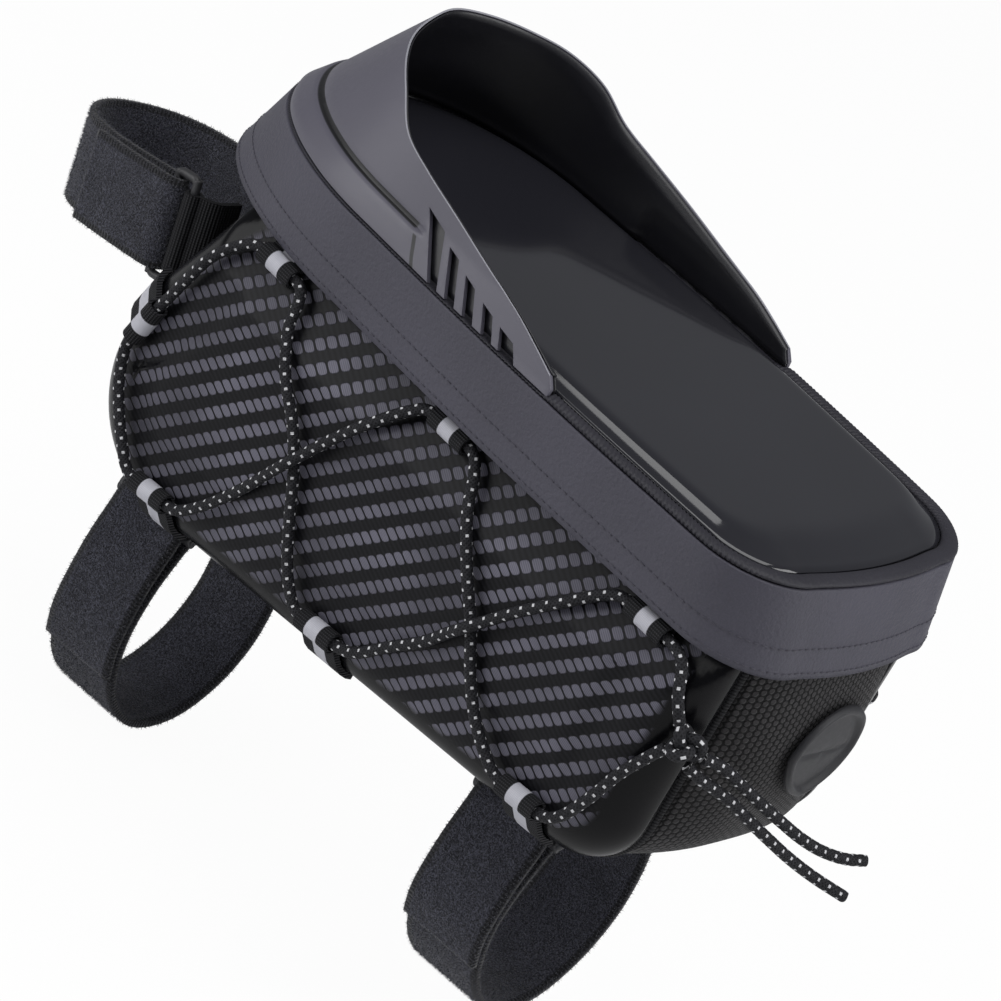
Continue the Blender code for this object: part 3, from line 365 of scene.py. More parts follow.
def shell_y(x, z, depth=None, raised=False):
    """Distance of the shell's outer face from the middle plane; raised gathers its dome into a narrow step."""
    if depth is None:
        depth = seam_depth(x, z)
    if depth < MARGIN_INSET:
        y = SHELL_EDGE_Y + MARGIN_RISE * math.sqrt(max(0.0, 1 - (1 - depth / MARGIN_INSET) ** 2))
    else:
        share = min(1.0, (depth - MARGIN_INSET) / 0.03)
        swell = share * (2 - share)
        if raised:
            share = max(0.0, min(1.0, (depth - 0.0185) / 0.0075))
            swell = share * share * (3 - 2 * share)
        y = SHELL_EDGE_Y + MARGIN_RISE + SHELL_DOME * swell
    nose = max(0.0, 1 - (min(0.0, x - NOSE_CENTRE_X) / (HEM_NOSE_LENGTH - SKIRT_WALL - TUCK)) ** 2)
    tucked = (HEM_HALF_WIDTH - SKIRT_WALL - TUCK) * math.sqrt(nose) + max(0.0, LID_Z - HEM_DROP - z)
    return min(y, SHELL_TOP_Y + (BODY_TOP_Z - z) * SHELL_TOP_LEAN, max(tucked, SHELL_EDGE_Y))


def gusset_bulge(x, z, y):
    """Outward bulge of the gusset between its two seams."""
    across = 1 - abs(y / GUSSET_HALF_WIDTH) ** 3
    low = SEAT_SLOPE * x
    height = max(0.0, min(1.0, (z - low) / (BODY_TOP_Z - low)))
    if x > SEAM_CORNERS[3][0] - SEAM_CORNERS[3][2]:
        return REAR_BULGE * math.sin(0.8 * math.pi * height ** 0.9) * across
    if x < SEAM_CORNERS[2][0] + SEAM_CORNERS[2][2]:
        return FRONT_BULGE * min(1.0, 2 * height) * across
    return 0.0


def rounded_box(low, high, half, radius):
    """Outline of a rounded box between two lengths and plus and minus a half width."""
    points = []
    for quarter, (x, y) in enumerate(((high, half), (low, half), (low, -half), (high, -half))):
        cx = x - math.copysign(radius, x)
        cy = y - math.copysign(radius, y)
        for i in range(7):
            turn = math.pi / 2 * (quarter + i / 6)
            points.append((cx + radius * math.cos(turn), cy + radius * math.sin(turn)))
    return points


def collar_outline(outset):
    """Rounded outline of the bag's opening."""
    return rounded_box(COLLAR_FRONT_X - outset, COLLAR_REAR_X + outset, COLLAR_HALF_WIDTH + outset,
                       COLLAR_RADIUS + outset)


def divided(line, step):
    """Points along straight stretches, about a step apart."""
    points = []
    for first, second in zip(line, line[1:]):
        count = max(1, int(math.dist(first, second) / step))
        points += [tuple(mix(a, b, i / count) for a, b in zip(first, second)) for i in range(count)]
    return points


def offset_path(path, distance):
    """Open path moved sideways by a distance."""
    moved = []
    for i, point in enumerate(path):
        before = Vector(path[max(0, i - 1)])
        after = Vector(path[min(len(path) - 1, i + 1)])
        along = (after - before).normalized()
        here = Vector(point)
        if 0 < i < len(path) - 1:
            first = (here - before).normalized()
            bend = max(0.6, first.dot(along))
        else:
            bend = 1.0
        moved.append((point[0] - along.y * distance / bend, point[1] + along.x * distance / bend))
    return moved


def smooth_path(path, steps):
    """Rounded path through given points."""
    result = []
    for i in range(len(path) - 1):
        p0 = Vector(path[max(0, i - 1)])
        p1 = Vector(path[i])
        p2 = Vector(path[i + 1])
        p3 = Vector(path[min(len(path) - 1, i + 2)])
        for k in range(steps):
            t = k / steps
            point = 0.5 * (2 * p1 + (p2 - p0) * t + (2 * p0 - 5 * p1 + 4 * p2 - p3) * t * t
                           + (3 * p1 - p0 - 3 * p2 + p3) * t ** 3)
            result.append(tuple(point))
    result.append(tuple(path[-1]))
    return result


def margin_point(turn, lift):
    """Point over the shell's rounded margin, as depth from the seam and distance from the middle plane."""
    depth = MARGIN_INSET * (1 - math.cos(turn))
    y = SHELL_EDGE_Y + MARGIN_RISE * math.sin(turn)
    normal = Vector((-math.cos(turn) / MARGIN_INSET, math.sin(turn) / MARGIN_RISE)).normalized()
    return (depth + normal.x * lift, y + normal.y * lift)


# Camera: its place, its three turns and its focal length
CAMERA_PLACE = (0.4508341, -0.7643182, 0.4961213)
CAMERA_TURN = math.radians(30.50144)
CAMERA_RISE = math.radians(26.97684)
CAMERA_ROLL = math.radians(29.08509)
CAMERA_LENS = 143.86


def add_camera():
    """Rolled camera that looks down on the bag from its left rear."""
    turn, rise, roll = CAMERA_TURN, CAMERA_RISE, CAMERA_ROLL
    ahead = Vector((-math.sin(turn) * math.cos(rise), math.cos(turn) * math.cos(rise), -math.sin(rise)))
    level = Vector((math.cos(turn), math.sin(turn), 0.0))
    upright = level.cross(ahead)
    right = math.cos(roll) * level + math.sin(roll) * upright
    up = -math.sin(roll) * level + math.cos(roll) * upright
    data = bpy.data.cameras.new("camera")
    data.lens = CAMERA_LENS
    data.sensor_width = 36.0
    data.clip_start = 0.05
    data.clip_end = 20.0
    camera = bpy.data.objects.new("camera", data)
    bpy.context.scene.collection.objects.link(camera)
    camera.matrix_world = Matrix.Translation(CAMERA_PLACE) @ Matrix((right, up, -ahead)).transposed().to_4x4()
    bpy.context.scene.camera = camera


def dense(points, count, closed=False):
    """Evenly spaced points on a smooth line through the given ones."""
    p = np.asarray(points, float)
    n = len(p)
    if closed:
        index = np.arange(n)
        p0, p1, p2, p3 = p[index - 1], p, p[(index + 1) % n], p[(index + 2) % n]
    else:
        padded = np.vstack([2 * p[0] - p[1], p, 2 * p[-1] - p[-2]])
        p0, p1, p2, p3 = padded[:-3], padded[1:-2], padded[2:-1], padded[3:]
    t = np.linspace(0, 1, 12, endpoint=False)[None, :, None]
    a, b, c, d = (q[:, None, :] for q in (p0, p1, p2, p3))
    line = 0.5 * (2 * b + (c - a) * t + (2 * a - 5 * b + 4 * c - d) * t ** 2 + (3 * b - a - 3 * c + d) * t ** 3)
    line = line.reshape(-1, p.shape[1])
    line = np.vstack([line, p[:1] if closed else p[-1:]])
    run = np.concatenate([[0], np.cumsum(np.linalg.norm(np.diff(line, axis=0), axis=1))])
    goal = np.linspace(0, run[-1], count, endpoint=not closed)
    return np.stack([np.interp(goal, run, line[:, k]) for k in range(p.shape[1])], axis=1)


def run_lengths(points):
    """Distance along a line at each of its points."""
    steps = np.linalg.norm(np.diff(np.asarray(points), axis=0), axis=1)
    return np.concatenate([[0], np.cumsum(steps)])


def new_object(name, mesh, finish=None):
    """Object at the origin that holds a finished mesh."""
    obj = bpy.data.objects.new(name.replace(" ", "_"), mesh)
    bpy.context.scene.collection.objects.link(obj)
    if finish:
        mesh.materials.append(finish)
    for polygon in mesh.polygons:
        polygon.use_smooth = True
    return obj


def net(name, points, finish, around=False, ring=False, uv=None, second=None, caps=False):
    """Mesh over a grid of points; around joins each row's ends, ring joins the last row to the first."""
    p = np.asarray(points, float)
    rows, columns = p.shape[:2]
    faces = []
    corners = []
    for i in range(rows if ring else rows - 1):
        for j in range(columns if around else columns - 1):
            ni, nj = (i + 1) % rows, (j + 1) % columns
            faces.append((i * columns + j, i * columns + nj, ni * columns + nj, ni * columns + j))
            corners.append(((i, j), (i, j + 1), (i + 1, j + 1), (i + 1, j)))
    if caps:
        faces.append(tuple(range(columns))[::-1])
        corners.append([(0, j) for j in range(columns)][::-1])
        faces.append(tuple((rows - 1) * columns + j for j in range(columns)))
        corners.append([(rows - 1, j) for j in range(columns)])
    mesh = bpy.data.meshes.new(name)
    mesh.from_pydata(p.reshape(-1, 3).tolist(), [], faces)
    for label, values in (("pattern", uv), ("place", second)):
        if values is None:
            continue
        values = np.asarray(values, float)
        last_row, last_column = values.shape[0] - 1, values.shape[1] - 1
        layer = mesh.uv_layers.new(name=label)
        flat = [values[min(i, last_row), min(j, last_column)] for face in corners for i, j in face]
        layer.data.foreach_set("uv", np.asarray(flat, np.float32).ravel())
    return new_object(name, mesh, finish)


def outward(obj):
    """Turn a closed mesh's faces outward."""
    build = bmesh.new()
    build.from_mesh(obj.data)
    if build.calc_volume(signed=True) < 0:
        bmesh.ops.reverse_faces(build, faces=build.faces)
    build.to_mesh(obj.data)
    build.free()
    return obj


def finished(obj):
    """Apply an object's modifiers into a plain mesh."""
    graph = bpy.context.evaluated_depsgraph_get()
    mesh = bpy.data.meshes.new_from_object(obj.evaluated_get(graph), preserve_all_data_layers=True, depsgraph=graph)
    obj.modifiers.clear()
    obj.data = mesh
    return obj


def walled(obj, wall, offset=-1.0, even=True, group=""):
    """Give an open surface its wall and close it."""
    modifier = obj.modifiers.new("wall", "SOLIDIFY")
    modifier.thickness = wall
    modifier.offset = offset
    modifier.use_even_offset = even
    modifier.vertex_group = group
    return outward(finished(obj))


def shown(obj, body, node=""):
    """Say which body a piece rides on and the frame's node that it stands for."""
    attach(obj, body)
    if node:
        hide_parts(node)


def close_middle(obj, count, axis):
    """Close the innermost row of a net with one face, and turn its faces toward an axis."""
    build = bmesh.new()
    build.from_mesh(obj.data)
    build.verts.ensure_lookup_table()
    build.faces.new([build.verts[i] for i in range(len(build.verts) - count, len(build.verts))])
    bmesh.ops.recalc_face_normals(build, faces=build.faces)
    if sum(face.normal[axis] * face.calc_area() for face in build.faces) < 0:
        bmesh.ops.reverse_faces(build, faces=build.faces)
    build.to_mesh(obj.data)
    build.free()


def frames_along(points, closed=False):
    """Two directions square to a line at each of its points, carried along without twist."""
    p = np.asarray(points, float)
    if closed:
        ahead = np.roll(p, -1, 0) - np.roll(p, 1, 0)
    else:
        ahead = np.gradient(p, axis=0)
    ahead /= np.linalg.norm(ahead, axis=1)[:, None]
    side = np.cross(ahead[0], (0.0, 0.0, 1.0))
    if np.linalg.norm(side) < 0.1:
        side = np.cross(ahead[0], (0.0, 1.0, 0.0))
    sides = []
    for direction in ahead:
        side = side - direction * side.dot(direction)
        side = side / np.linalg.norm(side)
        sides.append(side.copy())
    sides = np.array(sides)
    return sides, np.cross(ahead, sides)


def round_bar(name, points, radius, finish, segments=16, closed=False, braid=0.0):
    """Tube along a line with its length and turn as its pattern map; braid raises crossing strands on it."""
    p = np.asarray(points, float)
    sides, ups = frames_along(p, closed)
    run = run_lengths(np.vstack([p, p[:1]]) if closed else p)
    turn = np.linspace(0, math.tau, segments, endpoint=False)
    if braid:
        s = run[: len(p), None] / BRAID_PITCH * math.tau
        strands = np.maximum(np.sin(4 * turn[None] + s), np.sin(-4 * turn[None] + s))
        size = radius * (1 - braid * (1 - strands) / 2)
    else:
        size = np.full((len(p), segments), radius)
    grid = (p[:, None] + size[..., None] * (np.cos(turn)[None, :, None] * sides[:, None]
                                           + np.sin(turn)[None, :, None] * ups[:, None]))
    share = np.linspace(0, 1, segments + 1)
    uv = np.stack(np.broadcast_arrays(run[:, None], share[None]), axis=-1)
    obj = net(name, grid, finish, around=True, ring=closed, uv=uv, caps=not closed)
    return outward(obj)


def closed_strip(name, rows, count, finish):
    """Ring-shaped solid through closed rows, each smoothed to the same number of points."""
    fine = [dense(row, count, closed=True) for row in rows]
    heights = run_lengths([row[0] for row in fine] + [fine[0][0]])
    around = run_lengths(np.vstack([fine[0], fine[0][:1]]))
    uv = np.stack(np.broadcast_arrays(around[None], heights[:, None]), axis=-1)
    return outward(net(name, fine, finish, around=True, ring=True, uv=uv))


class Value:
    """A number passed between nodes, for writing sums plainly."""

    def __init__(self, finish, socket):
        self.finish, self.socket = finish, socket

    def __add__(self, other):
        return self.finish.math("ADD", self, other)

    def __sub__(self, other):
        return self.finish.math("SUBTRACT", self, other)

    def __rsub__(self, other):
        return self.finish.math("SUBTRACT", other, self)

    def __mul__(self, other):
        return self.finish.math("MULTIPLY", self, other)

    def __truediv__(self, other):
        return self.finish.math("DIVIDE", self, other)

    def __pow__(self, other):
        return self.finish.math("POWER", self, other)

    def __abs__(self):
        return self.finish.math("ABSOLUTE", self)

    def __floor__(self):
        return self.finish.math("FLOOR", self)


class Finish:
    """A material in the making, with short ways to add its nodes."""

    def __init__(self, name, colour, roughness, **values):
        self.material = bpy.data.materials.new(name)
        self.material.use_nodes = True
        self.nodes = self.material.node_tree.nodes
        self.links = self.material.node_tree.links
        self.shader = self.nodes["Principled BSDF"]
        self.shader.inputs["Base Color"].default_value = (*colour, 1.0)
        self.shader.inputs["Roughness"].default_value = roughness
        for key, value in values.items():
            self.shader.inputs[key.replace("_", " ")].default_value = value
        self.material.diffuse_color = (*colour, 1.0)

    def put(self, socket, value):
        """Link a socket, or set its plain value."""
        if isinstance(value, Value):
            value = value.socket
        if isinstance(value, bpy.types.NodeSocket):
            self.links.new(value, socket)
        else:
            socket.default_value = value

    def node(self, kind, **values):
        """New node with its inputs set or linked by name."""
        node = self.nodes.new(kind)
        for key, value in values.items():
            self.put(node.inputs[key.replace("_", " ")], value)
        return node

    def math(self, operation, *values):
        """Result of one sum."""
        node = self.nodes.new("ShaderNodeMath")
        node.operation = operation
        for socket, value in zip(node.inputs, values):
            self.put(socket, value)
        return Value(self, node.outputs[0])

    def step(self, value, start, end):
        """Smooth rise from 0 to 1 as a value goes from start to end."""
        node = self.nodes.new("ShaderNodeMapRange")
        node.interpolation_type = "SMOOTHSTEP"
        for key, number in (("Value", value), ("From Min", start), ("From Max", end)):
            self.put(node.inputs[key], number)
        return Value(self, node.outputs["Result"])

    def place(self):
        """Position on the piece, in metres."""
        return self.nodes.new("ShaderNodeTexCoord").outputs["Object"]

    def parts(self, vector):
        """The three values of a vector."""
        return [Value(self, socket) for socket in self.node("ShaderNodeSeparateXYZ", Vector=vector).outputs]

    def map(self, name):
        """The two values of one of the piece's own maps."""
        node = self.nodes.new("ShaderNodeUVMap")
        node.uv_map = name
        return self.parts(node.outputs[0])[:2]

    def noise(self, scale, detail=3.0):
        """Noise over the piece."""
        node = self.node("ShaderNodeTexNoise", Scale=scale, Detail=detail, Vector=self.place())
        return Value(self, node.outputs["Fac"])

    def wave(self, value, pitch, shift=0.0):
        """Smooth rise and fall from 0 to 1 once for each pitch."""
        return self.math("COSINE", value * (math.tau / pitch) + shift) * 0.5 + 0.5

    def cell(self, value, pitch, shift=0.0):
        """Place within a repeated cell, from -0.5 to 0.5."""
        return self.math("FRACT", value / pitch + shift) - 0.5

    def blend(self, share, first, second):
        """Colour between two colours."""
        node = self.nodes.new("ShaderNodeMix")
        node.data_type = "RGBA"
        self.put(node.inputs[0], share)
        for socket, colour in ((node.inputs[6], first), (node.inputs[7], second)):
            self.put(socket, colour if isinstance(colour, bpy.types.NodeSocket) else (*colour, 1.0))
        return node.outputs[2]

    def colour(self, share, first, second):
        """Give the shader a colour between two colours."""
        self.put(self.shader.inputs["Base Color"], self.blend(share, first, second))

    def rough(self, share, low, high):
        """Roughness from low to high with a share."""
        self.put(self.shader.inputs["Roughness"], share * (high - low) + low)

    def relief(self, height, depth, strength=1.0):
        """Raise the surface by a height from 0 to 1 times a depth, on top of any earlier relief."""
        bump = self.node("ShaderNodeBump", Strength=strength, Distance=depth, Height=height)
        socket = self.shader.inputs["Normal"]
        if socket.is_linked:
            self.links.new(socket.links[0].from_socket, bump.inputs["Normal"])
        self.links.new(bump.outputs["Normal"], socket)


def moulded_weave():
    """Moulded shell: glossy black margin, and rows of slanted grey thread floats inside it."""
    f = Finish("moulded weave shell", (0.010, 0.010, 0.013), 0.4, Coat_Weight=0.03, Coat_Roughness=0.2,
               Specular_IOR_Level=0.12)
    x, z = f.map("pattern")
    depth, _ = f.map("place")
    along, across = (x + z) * 0.7071, (z - x) * 0.7071
    v = f.cell(across, WEAVE_ROW)
    u = f.cell(along, WEAVE_FLOAT, v * 0.75 + math.floor(across / WEAVE_ROW) * 0.37)
    thread_float = 1.0 - f.step(abs(u / 0.43) ** 4.0 + abs(v / 0.28) ** 3.4, 0.55, 1.15)
    inside = f.step(depth + f.noise(60.0) * 0.003, 0.0085, 0.0110)
    under = f.wave(along + across * 0.4, WEAVE_FLOAT / 2) * inside
    ground = f.blend(under * 0.6, (0.0028, 0.0028, 0.0036), (0.012, 0.012, 0.015))
    share = thread_float * inside * (f.noise(38.0) * 1.7) * (f.wave(u, 0.17) * 0.45 + 0.55)
    f.colour(share, ground, (0.150, 0.146, 0.185))
    f.rough(inside * 0.8 + f.noise(400.0) * 0.2, 0.22, 0.46)
    f.relief(thread_float * inside, 0.00025, 0.9)
    f.relief(f.noise(1500.0, 4.0), 0.00003, 0.5)
    return f.material


def spacer_mesh():
    """Gusset fabric: staggered rows of raised dots."""
    f = Finish("spacer mesh fabric", (0.020, 0.019, 0.020), 0.75, Sheen_Weight=0.08, Sheen_Roughness=0.5,
               Specular_IOR_Level=0.2)
    run, across = f.map("pattern")
    v = f.cell(across, MESH_ROW)
    u = f.cell(run, 0.0018, f.math("MODULO", math.floor(across / MESH_ROW), 2.0) * 0.5)
    dot = 1.0 - f.step((u ** 2.0 + v ** 2.0) ** 0.5, 0.30, 0.50)
    f.colour(dot * (f.noise(220.0) * 0.9 + 0.5), (0.0024, 0.0024, 0.0028), (0.030, 0.028, 0.030))
    f.relief(dot, 0.00045)
    f.relief(f.noise(3500.0, 2.0), 0.00008, 0.6)
    return f.material


def plain_cloth():
    """Fine black woven cloth by its place on the piece."""
    f = Finish("plain black cloth", (0.015, 0.015, 0.017), 0.8, Sheen_Weight=0.05, Specular_IOR_Level=0.2)
    x, y, z = f.parts(f.place())
    weave = f.math("MAXIMUM", f.wave(x + z, 0.0009), f.wave(y - z, 0.0009, 1.6))
    f.colour(weave * f.noise(300.0), (0.006, 0.006, 0.007), (0.034, 0.034, 0.038))
    f.relief(weave, 0.0002, 0.8)
    return f.material


def leatherette(name="rubberised leatherette", light=1.0):
    """Matte purplish grey skin with a fine grain."""
    colour = (0.056 * light, 0.054 * light, 0.072 * light)
    f = Finish(name, colour, 0.55, Specular_IOR_Level=0.35)
    grain = f.node("ShaderNodeTexVoronoi", Scale=1300.0, Vector=f.place()).outputs["Distance"]
    fine = f.noise(2600.0, 3.0)
    cloud = f.noise(26.0, 2.0)
    f.colour(cloud * 0.5 + fine * 0.5, tuple(c * 0.45 for c in colour), tuple(c * 1.55 for c in colour))
    f.rough(fine * 0.6 + cloud * 0.4, 0.45, 0.68)
    f.relief(f.noise(850.0, 4.0), 0.00035, 0.8)
    f.relief(grain, 0.00010, 0.6)
    f.relief(fine, 0.00008, 0.6)
    return f.material


def visor_satin():
    """Satin purplish grey moulding with painted shade as black lines along its groove and down its short leg at the
    end, and a painted highlight as a paler line on the cut rim.
    """
    f = Finish("satin visor moulding", (0.095, 0.092, 0.115), 0.42)
    _, share = f.map("place")
    along, height = f.map("pattern")
    body = f.blend(f.noise(30.0, 2.0), (0.070, 0.067, 0.088), (0.102, 0.098, 0.124))
    # Painted shade: near-black colour laid along the groove's line and down its short leg at the band's end.
    groove_shade = f.step(height, 0.00540, 0.0056) * (1.0 - f.step(height, 0.0069, 0.0071))
    groove_shade = groove_shade * (1.0 - f.step(along, -0.0310, -0.0300))
    leg_shade = 1.0 - f.step(abs(along + height * 0.75 + 0.0255), 0.0005, 0.0008)
    leg_shade = leg_shade * (1.0 - f.step(height, 0.0044, 0.0048))
    body = f.blend(f.math("MAXIMUM", groove_shade, leg_shade), body, (0.003, 0.003, 0.004))
    # Painted highlight: paler colour along the sheet's cut rim, where light catches the edge.
    f.colour(f.step(share, 0.993, 0.9995), body, (0.26, 0.26, 0.29))
    f.rough(f.noise(700.0), 0.36, 0.50)
    f.relief(f.noise(3200.0, 3.0), 0.00003, 0.7)
    return f.material


def visor_black():
    """Black satin inner face of the visor."""
    f = Finish("black visor lining", (0.008, 0.008, 0.010), 0.38)
    f.colour(f.noise(40.0), (0.005, 0.005, 0.006), (0.014, 0.014, 0.019))
    f.rough(f.noise(500.0), 0.30, 0.46)
    f.relief(f.noise(3000.0, 2.0), 0.00002, 0.6)
    return f.material


def looped_pile():
    """Hook-and-loop strap: dark bluish pile with paler specks and black woven edges."""
    f = Finish("looped pile strap", (0.030, 0.030, 0.042), 0.9, Sheen_Weight=0.22, Sheen_Roughness=0.45,
               Specular_IOR_Level=0.2)
    run, across = f.map("pattern")
    edge = f.step(abs(across), 0.0104, 0.0113)
    speck = f.noise(2300.0, 4.0)
    tone = f.step(speck, 0.38, 0.66) * (f.noise(120.0) * 0.9 + 0.45)
    rib = f.wave(run, 0.0011)
    f.colour(edge, f.blend(tone, (0.010, 0.010, 0.014), (0.072, 0.074, 0.098)),
             f.blend(rib, (0.005, 0.005, 0.006), (0.022, 0.022, 0.026)))
    f.relief(speck * (1.0 - edge), 0.0005)
    f.relief(rib * edge, 0.0002, 0.8)
    return f.material


def pile_fibre():
    """Single fibres that stand out of the pile."""
    f = Finish("pile fibre", (0.050, 0.052, 0.070), 0.85, Sheen_Weight=0.2, Specular_IOR_Level=0.2)
    f.colour(f.noise(900.0), (0.022, 0.023, 0.032), (0.095, 0.098, 0.125))
    return f.material


def loop_webbing():
    """Ribbed black ribbon with a reflective stripe along its middle."""
    f = Finish("reflective loop webbing", (0.018, 0.018, 0.020), 0.7, Specular_IOR_Level=0.2)
    run, across = f.map("pattern")
    stripe = 1.0 - f.step(abs(across), 0.0021, 0.0023)
    rib = f.wave(run, 0.0008)
    grid = f.wave(run, 0.00045) * f.wave(across, 0.00045)
    f.colour(stripe, f.blend(rib * f.wave(across, 0.0006), (0.004, 0.004, 0.005), (0.040, 0.040, 0.045)),
             f.blend(grid * 0.5 + f.noise(500.0) * 0.5, (0.36, 0.36, 0.40), (0.54, 0.54, 0.59)))
    f.rough(stripe, 0.75, 0.34)
    f.relief(rib * (1.0 - stripe), 0.00025)
    f.relief(grid, 0.00004, 0.5)
    return f.material


def tape_webbing():
    """Plain ribbed black tape."""
    f = Finish("black tape", (0.014, 0.014, 0.016), 0.75, Specular_IOR_Level=0.2)
    run, across = f.map("pattern")
    rib = f.wave(run, 0.0009)
    f.colour(rib * f.wave(across, 0.0007), (0.004, 0.004, 0.005), (0.032, 0.032, 0.036))
    f.relief(rib, 0.0002)
    return f.material


def braided_cord():
    """Black braid with staggered reflective flecks."""
    f = Finish("braided cord", (0.012, 0.012, 0.014), 0.65, Specular_IOR_Level=0.2)
    run, turn = f.map("pattern")
    lay, angle = run / BRAID_PITCH, turn * 4.0
    strand = f.math("MAXIMUM", f.wave(lay + angle, 0.5), f.wave(lay - angle, 0.5))
    body = f.blend(strand * f.noise(900.0), (0.003, 0.003, 0.004), (0.034, 0.034, 0.040))
    side = turn * 5.0
    u = abs(f.cell(run + math.floor(side) * 0.0018, 0.0036))
    v = abs(f.cell(side, 1.0))
    fleck = (1.0 - f.step(u, 0.070, 0.110)) * (1.0 - f.step(v, 0.17, 0.26))
    f.colour(fleck, body, (0.60, 0.60, 0.62))
    f.relief(strand, 0.00018, 0.8)
    return f.material


def moulded_plastic(name, colour, roughness):
    """Moulded plastic or rubber with a faint texture."""
    f = Finish(name, colour, roughness, Specular_IOR_Level=0.3)
    f.colour(f.noise(150.0), tuple(c * 0.7 for c in colour), tuple(c * 1.35 for c in colour))
    f.rough(f.noise(900.0), roughness - 0.08, roughness + 0.10)
    f.relief(f.noise(2500.0, 3.0), 0.00004, 0.6)
    return f.material


def clear_film():
    """Smoky clear film of the window."""
    f = Finish("clear window film", (0.016, 0.016, 0.020), 0.07, Coat_Weight=0.3, Coat_Roughness=0.04, IOR=1.49)
    f.colour(f.noise(14.0, 1.0), (0.011, 0.011, 0.014), (0.020, 0.020, 0.026))
    f.rough(f.noise(60.0, 2.0), 0.06, 0.12)
    f.relief(f.noise(55.0, 1.0), 0.0002, 0.15)
    return f.material


def zip_alloy():
    """Dark coated metal with rubbed spots."""
    f = Finish("dark coated zip metal", (0.110, 0.110, 0.120), 0.35, Metallic=1.0)
    f.colour(f.noise(600.0), (0.070, 0.070, 0.078), (0.180, 0.180, 0.190))
    f.rough(f.noise(1400.0), 0.26, 0.46)
    return f.material


def fine_seam():
    """Seam stations about 2 mm apart, with outward directions."""
    return seam_stations(0.0018, 0.0020, (12, 26, 20))


def side_shell(label, side, finish):
    """Moulded side with a rounded margin and a soft raised step inside it."""
    stations = fine_seam()
    last = len(stations) - 1
    seam = np.array([s[:2] for s in stations])
    rows, patterns, places = [], [], []

    def depths(points):
        best = np.full(len(points), 1.0)
        for a, b in zip(seam[:-1], seam[1:]):
            run = b - a
            share = np.clip(((points - a) @ run) / (run @ run), 0, 1)
            best = np.minimum(best, np.linalg.norm(points - a - share[:, None] * run, axis=1))
        return best

    def add_row(px, pz, depth):
        y = np.array([shell_y(x, z, d, raised=True) for x, z, d in zip(px, pz, depth)])
        rows.append(np.stack([px, side * y, pz], axis=1))
        patterns.append(np.stack([px, pz], axis=1))
        places.append(np.stack([depth, depth], axis=1))

    s = np.array(stations)
    for turn in np.linspace(0.0, 90.0, 14):
        depth = MARGIN_INSET * (1 - math.cos(math.radians(turn)))
        add_row(s[:, 0] - s[:, 2] * depth, s[:, 1] - s[:, 3] * depth, np.full(len(s), depth))
    ring_x, ring_z = rows[-1][:, 0].copy(), rows[-1][:, 2].copy()
    top_x = np.linspace(-0.050, 0.060, last + 1)
    for share in np.linspace(0, 1, 34)[1:]:
        px = ring_x + (top_x - ring_x) * share
        pz = ring_z + (BODY_TOP_Z - ring_z) * share
        depth = depths(np.stack([px, pz], axis=1))
        add_row(px, pz, np.maximum(depth, MARGIN_INSET))
    obj = net(f"side shell {label}", rows, finish, uv=patterns, second=places)
    if side > 0:
        obj.data.flip_normals()
    walled(obj, SHELL_WALL, even=False)
    shown(obj, "bag", f"shell_{label}")


def gusset_band(finish):
    """Fabric band between the shells, bulged outward at the rear and a little at the front."""
    stations = fine_seam()
    run = run_lengths([s[:2] for s in stations])
    rows, uv = [], []
    for (x, z, nx, nz), length in zip(stations, run):
        row, pair = [], []
        for i in range(41):
            y = GUSSET_HALF_WIDTH * (i / 20 - 1)
            bulge = gusset_bulge(x, z, y)
            row.append((x + nx * bulge, y, z + nz * bulge))
            pair.append((length, y))
        rows.append(row)
        uv.append(pair)
    obj = net("gusset", rows, finish, uv=uv)
    walled(obj, GUSSET_WALL)
    shown(obj, "bag", "gusset")


def seam_piping(label, side, finish):
    """Corded edge along one seam."""
    points = [(x - nx * PIPING_INSET, side * PIPING_Y, z - nz * PIPING_INSET) for x, z, nx, nz in fine_seam()[1:-1]]
    obj = round_bar(f"seam piping {label}", points, PIPING_RADIUS, finish, 12)
    shown(obj, "bag", f"piping_{label}")


